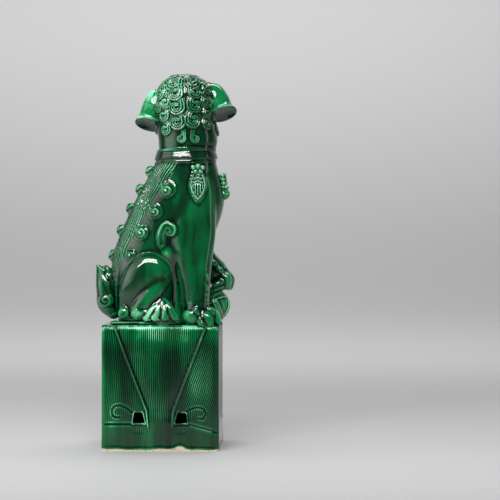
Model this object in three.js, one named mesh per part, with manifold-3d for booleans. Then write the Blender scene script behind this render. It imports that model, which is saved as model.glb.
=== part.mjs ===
// A seated guardian lion (foo dog) of hollow glazed stoneware on a pierced box plinth.
// Units are millimetres, +Z is up. The animal's body faces +X and its head is turned to face +Y.
// "right" and "left" are the animal's own sides: its right flank is -Y, its left flank is +Y.
// Every mesh is one clay piece, formed by itself and luted to its neighbours with slip.
import * as THREE from "three";
import { mergeVertices } from "three/addons/utils/BufferGeometryUtils.js";
import Module from "manifold-3d";

const wasm = await Module();
wasm.setup();

// ---- Driving dimensions ------------------------------------------------------------------------------

const PLINTH_LENGTH = 98.5; // along X
const PLINTH_DEPTH = 70; // along Y
const PLINTH_HEIGHT = 105;
const WALL = 5.5; // thickness of the plinth's side slabs
const TOP_SLAB = 6; // thickness of the plinth's top slab
const CORNER_RADIUS = 3; // of the plinth's upright edges
const FIGURE_HEIGHT = 215; // from the plinth's top to the crown of the head
const SHELL = 5; // wall of the hollow torso and head
const JOINT = 0.3; // slip-filled joint between two clay pieces

const VENT_RADIUS = 9; // hole through top slab and ground pad into the torso
const WINDOW_SILL = 22.8; // height of the pierced windows' lower edge
const WINDOW_HEIGHT = 9.8;
const WINDOW_BOTTOM_WIDTH = 11;
const WINDOW_TOP_WIDTH = 7.4;
const WINDOW_LEAN = 2.4; // how far the inner edge leans away from the drape
const WINDOW_WEB = 0.8; // clay between the drape and the window's inner lower corner

const DRAPE_THICKNESS = 1.4;
const DRAPE_PROUD = 0.3; // how far the drape stands out of the wall's face
const DRAPE_TOP_HALF = 38.5;
const DRAPE_WAIST_HALF = 11.2; // where the slanted hems turn down between the windows
const DRAPE_WAIST = 33.5; // height of that turn
const DRAPE_HEM_HALF = 10;
const DRAPE_HEM = 18.5; // height of the drape's lower hem

const PAD_THICKNESS = 2.8;
const PAD_HALF_DEPTH = 29.5;
const PAD_REAR = -43.5; // rear end of the pad, along X
const PAD_FRONT = 15.5;

const COLLAR_HEIGHT = 12.4;
const COLLAR_THICKNESS = 2; // from the throat's surface outwards
const BALL_RADIUS = 14;
const KNOB_RADIUS = 4.3; // knobs along the spine
const FLANK_CURL_RADIUS = 5.4;
const TASSEL_LENGTH = 29;
const TASSEL_WIDTH = 14;
const BELL_RADIUS = 4.8;
const EYE_RADIUS = 6.2;
const CURL_RADIUS = 5.2; // snail curls of the mane
const HEAD_ROLL = THREE.MathUtils.degToRad(7); // the head leans towards the tail

// The animal is drawn below on a plinth of this size, and stretches with the real one.
const DRAWN = { length: 98.5, depth: 70, height: 215 };
const STRETCH = new THREE.Vector3(
  PLINTH_LENGTH / DRAWN.length,
  PLINTH_DEPTH / DRAWN.depth,
  FIGURE_HEIGHT / DRAWN.height,
);

const glaze = { color: 0x0b5a32, roughness: 0.12, metalness: 0 };
const paleGlaze = { color: 0x2b8a55, roughness: 0.12, metalness: 0 };

// ---- Solids from three.js geometry -------------------------------------------------------------------

/** Turns a closed three.js geometry into a manifold solid. */
function solid(geometry) {
  geometry.deleteAttribute("normal");
  geometry.deleteAttribute("uv");
  const merged = mergeVertices(geometry, 1e-4);
  return new wasm.Manifold(
    new wasm.Mesh({
      numProp: 3,
      vertProperties: new Float32Array(merged.attributes.position.array),
      triVerts: new Uint32Array(merged.index.array),
    }),
  );
}

/** A place on the drawn animal, z above the plinth's top, carried onto the real plinth. */
function place(x, y, z) {
  return new THREE.Vector3(x, y, z)
    .multiply(STRETCH)
    .add(new THREE.Vector3(0, 0, PLINTH_HEIGHT));
}

/** An upright block between two corners. */
function block(low, high) {
  const size = new THREE.Vector3().subVectors(high, low);
  const middle = new THREE.Vector3().addVectors(low, high).multiplyScalar(0.5);
  return solid(
    new THREE.BoxGeometry(size.x, size.y, size.z).translate(middle.x, middle.y, middle.z),
  );
}

/** An ellipsoid; turn is an Euler in radians. It is grown by `grow` on every side. */
function egg(centre, radii, { turn = [0, 0, 0], grow = 0, detail = 10 } = {}) {
  const shape = new THREE.SphereGeometry(1, detail, Math.round(detail * 0.6))
    .rotateX(Math.PI / 2)
    .scale(radii[0] + grow, radii[1] + grow, radii[2] + grow);
  shape.applyMatrix4(new THREE.Matrix4().makeRotationFromEuler(new THREE.Euler(...turn)));
  return solid(shape.translate(centre.x, centre.y, centre.z));
}

/** Sections stacked upwards, each { z, x, y, rx, ry } on the drawn animal. */
function stack(sections, { grow = 0, around = 16 } = {}) {
  const shape = new THREE.CylinderGeometry(1, 1, 1, around, sections.length - 1);
  shape.rotateX(Math.PI / 2);
  const point = shape.attributes.position;
  for (let i = 0; i < point.count; i++) {
    const level = Math.round((point.getZ(i) + 0.5) * (sections.length - 1));
    const s = sections[level];
    const lift = level === 0 ? -grow : level === sections.length - 1 ? grow : 0;
    const centre = place(s.x, s.y ?? 0, s.z);
    point.setXYZ(
      i,
      centre.x + point.getX(i) * (s.rx * STRETCH.x + grow),
      centre.y + point.getY(i) * (s.ry * STRETCH.y + grow),
      centre.z + lift,
    );
  }
  return solid(shape);
}

/** A limb with round ends along points [x, y, z] on the drawn animal, with a radius at each. */
function limb(points, radii, { grow = 0, around = 10, width = 1 } = {}) {
  const curve = new THREE.CatmullRomCurve3(points.map((p) => place(...p)));
  const rings = (points.length - 1) * 2;
  const shape = new THREE.CylinderGeometry(1, 1, 1, around, rings).rotateX(Math.PI / 2);
  const point = shape.attributes.position;
  const across = new THREE.Vector3(0, 1, 0);
  for (let i = 0; i < point.count; i++) {
    const t = point.getZ(i) + 0.5;
    const step = Math.min(t * (radii.length - 1), radii.length - 1.0001);
    const low = Math.floor(step);
    const radius = THREE.MathUtils.lerp(radii[low], radii[low + 1], step - low) + grow;
    const along = curve.getTangent(t);
    const side = across.clone().addScaledVector(along, -across.dot(along)).normalize();
    const inner = new THREE.Vector3().crossVectors(side, along);
    const spot = curve
      .getPoint(t)
      .addScaledVector(inner, point.getX(i) * radius)
      .addScaledVector(side, point.getY(i) * radius * width);
    point.setXYZ(i, spot.x, spot.y, spot.z);
  }
  const ends = [0, points.length - 1].map((i) => {
    const r = radii[i] + grow;
    return egg(place(...points[i]), [r, r * width, r], { detail: around });
  });
  return solid(shape).add(ends[0]).add(ends[1]);
}

/** An upright outline in X and Z, extruded along Y between two depths. */
function plate(outline, fromY, toY) {
  const shape = new THREE.Shape(outline.map(([x, z]) => new THREE.Vector2(x, z)));
  const geometry = new THREE.ExtrudeGeometry(shape, { depth: toY - fromY, bevelEnabled: false });
  return solid(geometry.rotateX(Math.PI / 2).translate(0, toY, 0));
}

/** The piece on the animal's other flank. */
const mirrored = (made) => made.mirror([0, 1, 0]);

/** Cuts each of the others out of a piece. */
const cutBy = (piece, ...others) => others.reduce((left, other) => left.subtract(other), piece);

/** The biggest body of a solid, which drops the crumbs that a cut leaves. */
function biggest(made) {
  return made.decompose().sort((a, b) => b.volume() - a.volume())[0];
}

// ---- Plinth ------------------------------------------------------------------------------------------

const HALF_LENGTH = PLINTH_LENGTH / 2;
const HALF_DEPTH = PLINTH_DEPTH / 2;
const DRAPE_RECESS = DRAPE_THICKNESS - DRAPE_PROUD;

/** The plinth's outer block with its upright edges rounded. */
function plinthBlock() {
  const r = CORNER_RADIUS;
  const [x, y] = [HALF_LENGTH, HALF_DEPTH];
  const outline = new THREE.Shape();
  outline.absarc(x - r, y - r, r, 0, Math.PI / 2);
  outline.absarc(-x + r, y - r, r, Math.PI / 2, Math.PI);
  outline.absarc(-x + r, -y + r, r, Math.PI, 1.5 * Math.PI);
  outline.absarc(x - r, -y + r, r, 1.5 * Math.PI, 2 * Math.PI);
  const geometry = new THREE.ExtrudeGeometry(outline, {
    depth: PLINTH_HEIGHT,
    bevelEnabled: false,
    curveSegments: 4,
  });
  return solid(geometry);
}

/** The drape's half width at a height above the floor. */
function drapeHalf(z) {
  const [low, high, zLow, zHigh] =
    z < DRAPE_WAIST
      ? [DRAPE_HEM_HALF, DRAPE_WAIST_HALF, DRAPE_HEM, DRAPE_WAIST]
      : [DRAPE_WAIST_HALF, DRAPE_TOP_HALF, DRAPE_WAIST, PLINTH_HEIGHT];
  return THREE.MathUtils.mapLinear(z, zLow, zHigh, low, high);
}

/** A pierced window's outline, on one side (+1 or -1) of the drape's centre line. */
function windowOutline(side) {
  const top = WINDOW_SILL + WINDOW_HEIGHT;
  const inner = Math.max(drapeHalf(WINDOW_SILL), drapeHalf(top)) + WINDOW_WEB + JOINT;
  const corners = [
    [inner, WINDOW_SILL],
    [inner + WINDOW_BOTTOM_WIDTH, WINDOW_SILL],
    [inner + WINDOW_LEAN + WINDOW_TOP_WIDTH, top],
    [inner + WINDOW_LEAN, top],
  ].map(([x, z]) => [side * x, z]);
  return side > 0 ? corners : corners.reverse();
}

/** The drape's outline, widened by `grow`. */
function drapeOutline(grow) {
  const heights = [DRAPE_HEM, DRAPE_WAIST, PLINTH_HEIGHT];
  const lift = [-grow, 0, grow];
  const hem = heights.map((z, i) => [drapeHalf(z) + grow, z + lift[i]]);
  return [...hem.map(([x, z]) => [-x, z]).reverse(), ...hem];
}

const block3 = (x0, y0, z0, x1, y1, z1) =>
  block(new THREE.Vector3(x0, y0, z0), new THREE.Vector3(x1, y1, z1));

/** The right-hand side slab, with its windows and the shallow seat of its drape. */
function sideWall() {
  const slab = block3(-HALF_LENGTH, -HALF_DEPTH, 0, HALF_LENGTH, WALL - HALF_DEPTH, PLINTH_HEIGHT);
  const windows = [1, -1].map((side) =>
    plate(windowOutline(side), -HALF_DEPTH - 1, WALL - HALF_DEPTH + 1),
  );
  const seat = plate(drapeOutline(JOINT), -HALF_DEPTH - 1, -HALF_DEPTH + DRAPE_RECESS + JOINT);
  return cutBy(slab, ...windows, seat).intersect(plinthBlock());
}

/** The cloth that hangs over the right-hand side slab, set into its seat. */
function drape() {
  const face = -HALF_DEPTH - DRAPE_PROUD;
  return plate(drapeOutline(0), face, face + DRAPE_THICKNESS);
}

/** One end slab, between the two side slabs; side is +1 at the front. */
function endWall(side) {
  const y = HALF_DEPTH - WALL - JOINT;
  const outer = side * HALF_LENGTH;
  const inner = outer - side * WALL;
  return block3(Math.min(inner, outer), -y, 0, Math.max(inner, outer), y, PLINTH_HEIGHT);
}

/** The vent from the plinth's hollow up into the torso's. */
function vent(radius, top) {
  const height = top - PLINTH_HEIGHT + 2 * TOP_SLAB;
  const tube = new THREE.CylinderGeometry(radius, radius, height, 16).rotateX(Math.PI / 2);
  const middle = place(-14, 0, 0);
  return solid(tube.translate(middle.x, 0, top - height / 2));
}

/** The top slab, let in between the four walls and flush with them. */
function topSlab() {
  const [x, y] = [HALF_LENGTH, HALF_DEPTH].map((half) => half - WALL - JOINT);
  const slab = block3(-x, -y, PLINTH_HEIGHT - TOP_SLAB, x, y, PLINTH_HEIGHT);
  return slab.subtract(vent(VENT_RADIUS, PLINTH_HEIGHT + 1));
}

const PAD_TOP = PLINTH_HEIGHT + JOINT + PAD_THICKNESS;
const PAD_TOP_DRAWN = (PAD_TOP - PLINTH_HEIGHT) / STRETCH.z;

function groundPad(grow = 0) {
  const rear = place(PAD_REAR, 0, 0).x;
  const front = place(PAD_FRONT, 0, 0).x;
  const half = PAD_HALF_DEPTH * STRETCH.y;
  const pad = block3(
    rear - grow, -half - grow, PLINTH_HEIGHT + JOINT - grow,
    front + grow, half + grow, PAD_TOP + grow,
  );
  return grow ? pad : pad.subtract(vent(VENT_RADIUS, PAD_TOP + 1));
}

// ---- Torso and limbs ---------------------------------------------------------------------------------

const NECK_JOINT = 141; // height of the joint between torso and neck, above the plinth
const THROAT = { x: 19.3, rx: 25.7, ry: 23.7 }; // the section under the collar

/** Level sections of the torso, from the ground pad up to the neck joint. */
const TORSO = [
  { z: PAD_TOP_DRAWN + JOINT, x: -15, rx: 22.5, ry: 23 },
  { z: 20, x: -14.5, rx: 26.5, ry: 25.5 },
  { z: 40, x: -12, rx: 31.5, ry: 26.5 },
  { z: 60, x: -2, rx: 38, ry: 26.5 },
  { z: 80, x: 6.5, rx: 39.5, ry: 27 },
  { z: 100, x: 13.5, rx: 37.7, ry: 27.5 },
  { z: 118, x: 17.2, rx: 32.4, ry: 26 },
  { ...THROAT, z: NECK_JOINT - COLLAR_HEIGHT / 2 - 1 },
  { ...THROAT, z: NECK_JOINT },
];

/** The torso's section at a height, between the listed ones. */
function torsoSection(z) {
  const above = TORSO.findIndex((s) => s.z >= z);
  const [a, b] = [TORSO[Math.max(above - 1, 0)], TORSO[Math.max(above, 1)]];
  const t = (z - a.z) / (b.z - a.z);
  const mix = (key) => THREE.MathUtils.lerp(a[key], b[key], t);
  return { z, x: mix("x"), rx: mix("rx"), ry: mix("ry") };
}

/** The torso's skin on the right flank: its Y at a place in X and Z. */
function flank(x, z) {
  const s = torsoSection(z);
  const u = THREE.MathUtils.clamp((x - s.x) / s.rx, -1, 1);
  return -s.ry * Math.sqrt(1 - u * u);
}

/** The torso's skin along the spine: its X at a height. */
function spine(z) {
  const s = torsoSection(z);
  return s.x - s.rx;
}

function torsoForm(grow = 0) {
  return stack(TORSO, { grow, around: 22 });
}

/** The torso as a shell, open at the bottom over the vent and at the neck. */
function torso() {
  const inner = TORSO.map((s) => ({ ...s, rx: s.rx - SHELL, ry: s.ry - SHELL }));
  inner[0] = { ...inner[0], z: inner[0].z + SHELL };
  const top = inner.length - 1;
  inner[top] = { ...inner[top], z: inner[top].z + 1 };
  const base = place(0, 0, TORSO[0].z).z;
  return cutBy(torsoForm(), stack(inner, { around: 14 }), vent(VENT_RADIUS, base + 2 * SHELL));
}

const RIGHT_FORELEG = [
  { z: 4, x: 28.6, y: -22.5, rx: 10.2, ry: 9.2 },
  { z: 18, x: 27.6, y: -21.5, rx: 10.6, ry: 9.4 },
  { z: 33, x: 26.6, y: -20.8, rx: 12.6, ry: 10 },
  { z: 50, x: 25, y: -19.8, rx: 15.2, ry: 11 },
  { z: 66, x: 22, y: -18.5, rx: 20.4, ry: 12.4 },
  { z: 80, x: 22, y: -16.6, rx: 21.4, ry: 13.6 },
  { z: 100, x: 25, y: -14, rx: 18.6, ry: 14 },
  { z: 116, x: 27, y: -12, rx: 14, ry: 13 },
];

/** The toes of a paw: a row of eggs across the front of it. */
function toes(centre, { count = 4, pitch = 5.6, radii = [6.4, 3.3, 4.6], grow = 0 } = {}) {
  const row = [];
  for (let i = 0; i < count; i++) {
    const across = (i - (count - 1) / 2) * pitch;
    const spot = new THREE.Vector3(centre.x, centre.y + across, centre.z);
    row.push(egg(spot, radii, { grow, detail: 7 }));
  }
  return row.reduce((a, b) => a.add(b));
}

/** The straight right foreleg with its paw, which stands on the plinth's near edge. */
function rightForelegForm(grow = 0) {
  const paw = egg(place(35, -24.5, 8), [13.5, 12, 7.6], { grow });
  const row = toes(place(44, -24.5, 5.4), { grow });
  return stack(RIGHT_FORELEG, { grow }).add(paw).add(row);
}

const BALL_CENTRE = new THREE.Vector3(
  place(42, 0, 0).x,
  place(0, 19.5, 0).y,
  PLINTH_HEIGHT + JOINT + BALL_RADIUS,
);

function ballForm(grow = 0) {
  const r = BALL_RADIUS;
  return egg(BALL_CENTRE, [r, r, r], { grow, detail: 14 });
}

/** The raised left foreleg, its paw laid on top of the ball. */
function leftForelegForm(grow = 0) {
  const pawHeight = (BALL_CENTRE.z + BALL_RADIUS - PLINTH_HEIGHT) / STRETCH.z + 4.5;
  const leg = limb(
    [[24, 15, 92], [30, 17, 72], [38, 19, 55], [47, 19.5, pawHeight + 6]],
    [13.5, 13, 10.5, 8.5],
    { grow },
  );
  const paw = egg(place(50, 19.5, pawHeight), [10.6, 12, 8], { grow });
  const row = toes(place(55.5, 19.5, pawHeight - 2), { radii: [5.2, 3.3, 5], grow });
  return leg.add(paw).add(row);
}

/** The right thigh, from rump to knee, as it bulges from the torso. */
function haunchForm(grow = 0) {
  return limb(
    [[-25, -16, 17], [-20, -19.5, 30], [-14, -21, 41], [-10.5, -22, 47]],
    [14, 16, 17, 15.5],
    { grow, around: 14, width: 0.62 },
  );
}

/** The right shin, heel and hind paw. */
function hindPawForm(grow = 0) {
  const heel = PAD_TOP_DRAWN + JOINT + 7.6;
  const shin = limb([[3, -24, 42], [-5, -25.5, 27], [-16, -25.5, heel]], [8, 8.5, 7.4], { grow });
  const foot = limb([[-16, -25.5, heel], [-2, -26, heel], [8, -26.5, heel]], [7.4, 7, 6.8], { grow });
  const row = toes(place(12, -26.5, heel - 2), { pitch: 4.4, radii: [6, 2.9, 5], grow });
  return shin.add(foot).add(row);
}

/** The tail, which stands up behind the rump and ends in a flame-shaped point. */
function tailForm(grow = 0) {
  return limb(
    [[-44, 0, 9.5], [-48, 0, 17], [-49, 0, 30], [-51, 0, 39], [-56, 0, 48]],
    [5.5, 8.2, 8.6, 6.5, 1],
    { grow, width: 1.5 },
  );
}

// ---- Head --------------------------------------------------------------------------------------------

const NECK = [
  { ...THROAT, z: NECK_JOINT + JOINT },
  { ...THROAT, z: NECK_JOINT + COLLAR_HEIGHT / 2 + 1 },
  { z: 162, x: 20.6, rx: 27, ry: 25 },
  { z: 176, x: 19, rx: 26, ry: 24 },
];
const SKULL = [16.4, 0, 190.5]; // centre of the skull
const SKULL_RADIUS = 24;
const CURL_SINK = 0.9; // share of the skull's radius at which the curls' centres sit
const CURL_PITCH = 27; // degrees between curls in a row
const CURL_ROWS = [
  { up: 16, count: 6 },
  { up: 5, count: 7 },
  { up: -6, count: 6 },
  { up: -16, count: 5 },
];

/** Rolls a solid about the skull's centre, as the whole head is rolled. */
function rolled(made) {
  const c = place(...SKULL);
  const degrees = -THREE.MathUtils.radToDeg(HEAD_ROLL);
  return made.translate([-c.x, -c.y, -c.z]).rotate([0, degrees, 0]).translate([c.x, c.y, c.z]);
}

/** A place given from the skull's centre: right of it, in front of it (+Y) and above it. */
const onHead = (right, front, up) => place(SKULL[0] + right, SKULL[1] + front, SKULL[2] + up);

function skullForm(grow = 0) {
  const r = SKULL_RADIUS;
  return egg(place(...SKULL), [r, r, r], { grow, detail: 16 });
}

/** The rows of snail curls round the back of the head, as low domes on the skull. */
function maneForm(grow = 0) {
  const curls = [];
  for (const { up, count } of CURL_ROWS) {
    for (let i = 0; i < count; i++) {
      const turn = THREE.MathUtils.degToRad(-90 + (i - (count - 1) / 2) * CURL_PITCH);
      const ring = Math.sqrt(Math.max(1 - (up / SKULL_RADIUS) ** 2, 0)) * SKULL_RADIUS;
      const spot = onHead(Math.cos(turn) * ring * CURL_SINK, Math.sin(turn) * ring * CURL_SINK, up);
      curls.push(egg(spot, [CURL_RADIUS, CURL_RADIUS, CURL_RADIUS], { grow, detail: 7 }));
    }
  }
  return curls.reduce((a, b) => a.add(b));
}

/** Skull, mane, cheeks and muzzle; the mouth is cut open under the upper lip later. */
function headForm(grow = 0) {
  const cheeks = egg(onHead(2, 12, -11), [23.5, 17, 14], { grow });
  const muzzle = egg(onHead(2, 26, -6.5), [16, 14.5, 9.5], { grow });
  const skull = skullForm(grow).add(cheeks).add(muzzle).add(maneForm(grow));
  return rolled(skull).add(stack(NECK, { grow, around: 18 }));
}

/** The open mouth, between the upper lip and the lower jaw. */
function mouthForm() {
  return rolled(egg(onHead(2, 37, -18), [13.5, 16, 7]));
}

function lowerJawForm(grow = 0) {
  return rolled(egg(onHead(2, 20, -25.5), [14.5, 17, 6.5], { grow }));
}

function beardForm(grow = 0) {
  return rolled(egg(onHead(2, 26, -33), [9, 7, 7.5], { grow }));
}

function tongueForm(grow = 0) {
  return rolled(egg(onHead(2, 23, -17.6), [6.5, 12, 2.2], { grow, detail: 8 }));
}

function noseForm(grow = 0) {
  return rolled(egg(onHead(2, 39, 0.5), [7.4, 4.6, 4.8], { grow, detail: 8 }));
}

/** side is +1 for the animal's right eye, -1 for its left. */
function eyeForm(side, grow = 0) {
  const r = EYE_RADIUS;
  return rolled(egg(onHead(2 + side * 10.5, 21.5, 5), [r, r, r], { grow, detail: 8 }));
}

function browForm(side, grow = 0) {
  const turn = [0, side * 0.3, -side * 0.25];
  return rolled(egg(onHead(2 + side * 11, 22.5, 13.2), [9.5, 4.6, 3.6], { turn, grow, detail: 12 }));
}

/** A row of teeth under the upper lip, with a fang at each end. */
function teethForm(grow = 0) {
  const bar = egg(onHead(2, 33.5, -13.2), [10.5, 3.2, 2.4], { grow, detail: 10 });
  const fangs = [1, -1].map((side) =>
    egg(onHead(2 + side * 9, 32.5, -15), [1.9, 2, 4.4], { grow, detail: 8 }),
  );
  return rolled(bar.add(fangs[0]).add(fangs[1]));
}

/** A hanging ear whose lower end flares out; side is +1 for the animal's right ear. */
function earForm(side, grow = 0) {
  const ear = limb(
    side > 0
      ? [[37, 2, 202], [44, 2, 199], [50, 2, 191], [52.5, 2, 183]]
      : [[-4, 2, 198], [-11, 2, 193], [-14.5, 2, 184], [-15.5, 2, 176]],
    [3.5, 6.5, 8.6, 9.4],
    { grow, width: 1.3 },
  );
  return ear;
}

// ---- Collar and ornaments ----------------------------------------------------------------------------

/** The collar's height of the throat's section, grown outwards, and longer by `extra`. */
function collarForm(grow, extra = 0) {
  const half = COLLAR_HEIGHT / 2 + extra - grow;
  const ends = [NECK_JOINT - half, NECK_JOINT + half].map((z) => ({ ...THROAT, z }));
  return stack(ends, { grow, around: 24 });
}

/** The collar band, which hides the joint between torso and neck. */
function collar() {
  return collarForm(COLLAR_THICKNESS).subtract(collarForm(2 * JOINT, 1));
}

/** A leaf-shaped tassel on the right shoulder, under its knot. */
function tasselForm(grow = 0) {
  const top = NECK_JOINT - COLLAR_HEIGHT / 2;
  const middle = top - 4 - TASSEL_LENGTH / 2 / STRETCH.z;
  const leaf = place(31, flank(31, middle) - 1.2, middle);
  const knot = place(31, flank(31, top - 3) - 0.6, top - 3.2);
  return egg(leaf, [TASSEL_WIDTH / 2, 3.6, TASSEL_LENGTH / 2], { grow, turn: [-0.06, 0, 0] }).add(
    egg(knot, [5, 3.4, 3.6], { grow, detail: 8 }),
  );
}

/** A string of beads down the chest with the bell as the last of them. */
function bellForm(grow = 0) {
  const bell = BELL_RADIUS;
  const chest = (z) => torsoSection(z).x + torsoSection(z).rx;
  const beads = [[130, bell * 0.5], [124, bell * 0.68], [117.5, bell * 0.8], [110.5, bell]];
  return beads
    .map(([z, r]) => egg(place(chest(z) + 1.4, 0, z), [r, r, r * 1.05], { grow, detail: 8 }))
    .reduce((a, b) => a.add(b));
}

const KNOB_HEIGHTS = [130, 114.5, 98, 79.5, 58]; // up the spine, above the plinth
const FLANK_CURLS = [[5.8, 113], [-4.2, 95], [-15.9, 77.5], [-25, 58.5]]; // X and height

function knobForm(z, grow = 0) {
  const r = KNOB_RADIUS;
  return egg(place(spine(z) - 1.6, 0, z), [r, r, r * 1.08], { grow, detail: 8 });
}

function flankCurlForm([x, z], grow = 0) {
  const r = FLANK_CURL_RADIUS;
  return egg(place(x, flank(x, z) + 0.4, z), [r, r * 0.62, r], { grow, detail: 8 });
}

/** The comma-shaped curl behind the right elbow. */
function elbowCurlForm(grow = 0) {
  const y = flank(5, 74) - 1;
  return limb([[3.5, y, 63], [1.8, y, 72], [3, y, 80], [8, y, 82.5]], [2.2, 3.6, 4, 3.8], {
    grow,
    around: 7,
    width: 0.9,
  });
}

// ---- Assembly ----------------------------------------------------------------------------------------

const figure = new THREE.Group();
figure.name = "foo_dog_statue";

/** Adds one clay piece to the assembly. */
function add(name, made, look = glaze) {
  const mesh = made.getMesh();
  const geometry = new THREE.BufferGeometry();
  geometry.setAttribute("position", new THREE.BufferAttribute(mesh.vertProperties, 3));
  geometry.setIndex(new THREE.BufferAttribute(mesh.triVerts, 1));
  geometry.computeVertexNormals();
  const part = new THREE.Mesh(geometry, new THREE.MeshStandardMaterial(look));
  part.name = name;
  figure.add(part);
}

/** Adds a piece of the right flank and its mirror image on the left. */
function addPair(name, right, look) {
  add(`right_${name}`, right, look);
  add(`left_${name}`, mirrored(right), look);
}

// Pieces are cut in this order: a later piece gives way to the ones before it.
const G = JOINT;
const ground = block3(-300, -300, -10, 300, 300, PLINTH_HEIGHT + JOINT);
const overPlinth = block3(
  -HALF_LENGTH - G, -HALF_DEPTH - G, 0,
  HALF_LENGTH + G, HALF_DEPTH + G, PLINTH_HEIGHT + G,
);

addPair("plinth_wall", sideWall());
addPair("drape", drape(), paleGlaze);
add("front_plinth_wall", endWall(1));
add("rear_plinth_wall", endWall(-1));
add("plinth_top", topSlab());
add("ground_pad", groundPad());
add("torso", torso());
add("ball", cutBy(ballForm(), torsoForm(G)), paleGlaze);

const rightForeleg = biggest(
  cutBy(rightForelegForm(), overPlinth, groundPad(G), torsoForm(G), haunchForm(G), hindPawForm(G)),
);
add("right_foreleg", rightForeleg);
const leftForeleg = biggest(
  cutBy(leftForelegForm(), ballForm(G), groundPad(G), torsoForm(G), mirrored(haunchForm(G))),
);
add("left_foreleg", leftForeleg);

const haunch = biggest(cutBy(haunchForm(), torsoForm(G), groundPad(G), hindPawForm(G)));
addPair("haunch", haunch);
addPair("hind_paw", biggest(cutBy(hindPawForm(), torsoForm(G), groundPad(G))));
add(
  "tail",
  biggest(cutBy(tailForm(), torsoForm(G), groundPad(G), ground, haunchForm(G), mirrored(haunchForm(G)))),
);

const sides = { right: 1, left: -1 };
const faceParts = (grow) => [
  noseForm(grow),
  ...Object.values(sides).flatMap((side) => [eyeForm(side, grow), browForm(side, grow)]),
  teethForm(grow),
];
const brain = rolled(skullForm(-SHELL)).add(
  stack(NECK.map((s) => ({ ...s, rx: s.rx - SHELL - 1, ry: s.ry - SHELL - 1 })), { grow: 1, around: 12 }),
);
const head = biggest(
  cutBy(headForm(), brain, mouthForm(), lowerJawForm(G), beardForm(G), tongueForm(G), ...faceParts(G)),
);
add("head", head);
add(
  "lower_jaw",
  biggest(cutBy(lowerJawForm(), stack(NECK, { grow: G }), tongueForm(G), brain, beardForm(G))),
);
add("beard", biggest(cutBy(beardForm(), stack(NECK, { grow: G }))));
add("tongue", biggest(cutBy(tongueForm(), brain)), paleGlaze);
add("nose", biggest(cutBy(noseForm(), brain)));
add("upper_teeth", biggest(cutBy(teethForm(), brain, tongueForm(G))), paleGlaze);
for (const [name, side] of Object.entries(sides)) {
  add(`${name}_eye`, biggest(cutBy(eyeForm(side), brain, browForm(side, G))), paleGlaze);
  add(`${name}_brow`, biggest(cutBy(browForm(side), brain)));
  add(`${name}_ear`, biggest(cutBy(earForm(side), headForm(G))));
}

add("collar", cutBy(collar(), beardForm(G), lowerJawForm(G)), paleGlaze);
const collarSpace = collarForm(COLLAR_THICKNESS + G, G);
const rightTassel = biggest(cutBy(tasselForm(), torsoForm(G), collarSpace, rightForelegForm(G)));
add("right_tassel", rightTassel, paleGlaze);
add(
  "left_tassel",
  biggest(cutBy(mirrored(tasselForm()), torsoForm(G), collarSpace, leftForelegForm(G))),
  paleGlaze,
);
add("chest_bell", biggest(cutBy(bellForm(), torsoForm(G), collarSpace)), paleGlaze);
KNOB_HEIGHTS.forEach((z, i) => {
  add(`spine_knob_${i + 1}`, biggest(cutBy(knobForm(z), torsoForm(G), collarSpace)), paleGlaze);
});
FLANK_CURLS.forEach((spot, i) => {
  const neighbours = [torsoForm(G), haunchForm(G), rightForelegForm(G)];
  addPair(`flank_curl_${i + 1}`, biggest(cutBy(flankCurlForm(spot), ...neighbours)), paleGlaze);
});
addPair(
  "elbow_curl",
  biggest(cutBy(elbowCurlForm(), torsoForm(G), haunchForm(G), rightForelegForm(G), mirrored(leftForelegForm(G)))),
  paleGlaze,
);

// The origin is at the bottom centre of the whole statue.
const bounds = new THREE.Box3().setFromObject(figure);
const middle = bounds.getCenter(new THREE.Vector3());
figure.position.set(-middle.x, -middle.y, -bounds.min.z);

export default figure;
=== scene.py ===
"""A glazed stoneware guardian lion on a hollow box plinth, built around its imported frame."""

import logging
import math
from dataclasses import dataclass, field
from enum import Enum
from typing import Callable, Iterable, Sequence

import bmesh
import bpy
import numpy as np
from mathutils import Matrix, Vector
from mathutils.bvhtree import BVHTree


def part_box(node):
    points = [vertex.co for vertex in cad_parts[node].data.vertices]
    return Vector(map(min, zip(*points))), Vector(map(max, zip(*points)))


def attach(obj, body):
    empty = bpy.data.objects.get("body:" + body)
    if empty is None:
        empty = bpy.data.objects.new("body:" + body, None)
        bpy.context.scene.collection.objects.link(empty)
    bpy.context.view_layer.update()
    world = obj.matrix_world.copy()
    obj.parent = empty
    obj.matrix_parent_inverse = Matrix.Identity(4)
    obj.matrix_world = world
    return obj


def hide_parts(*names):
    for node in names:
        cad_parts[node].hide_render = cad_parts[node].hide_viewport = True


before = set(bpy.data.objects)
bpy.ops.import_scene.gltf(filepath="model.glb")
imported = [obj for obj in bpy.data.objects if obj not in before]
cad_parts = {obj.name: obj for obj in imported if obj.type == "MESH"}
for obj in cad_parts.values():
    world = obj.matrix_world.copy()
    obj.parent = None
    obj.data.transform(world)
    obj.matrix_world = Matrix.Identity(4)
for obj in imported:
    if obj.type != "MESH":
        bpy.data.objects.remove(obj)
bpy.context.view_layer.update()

log = logging.getLogger("foo_dog")

MM = 0.001
Array = np.ndarray


# ---- Measures and curves ---------------------------------------------------------------------


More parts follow.
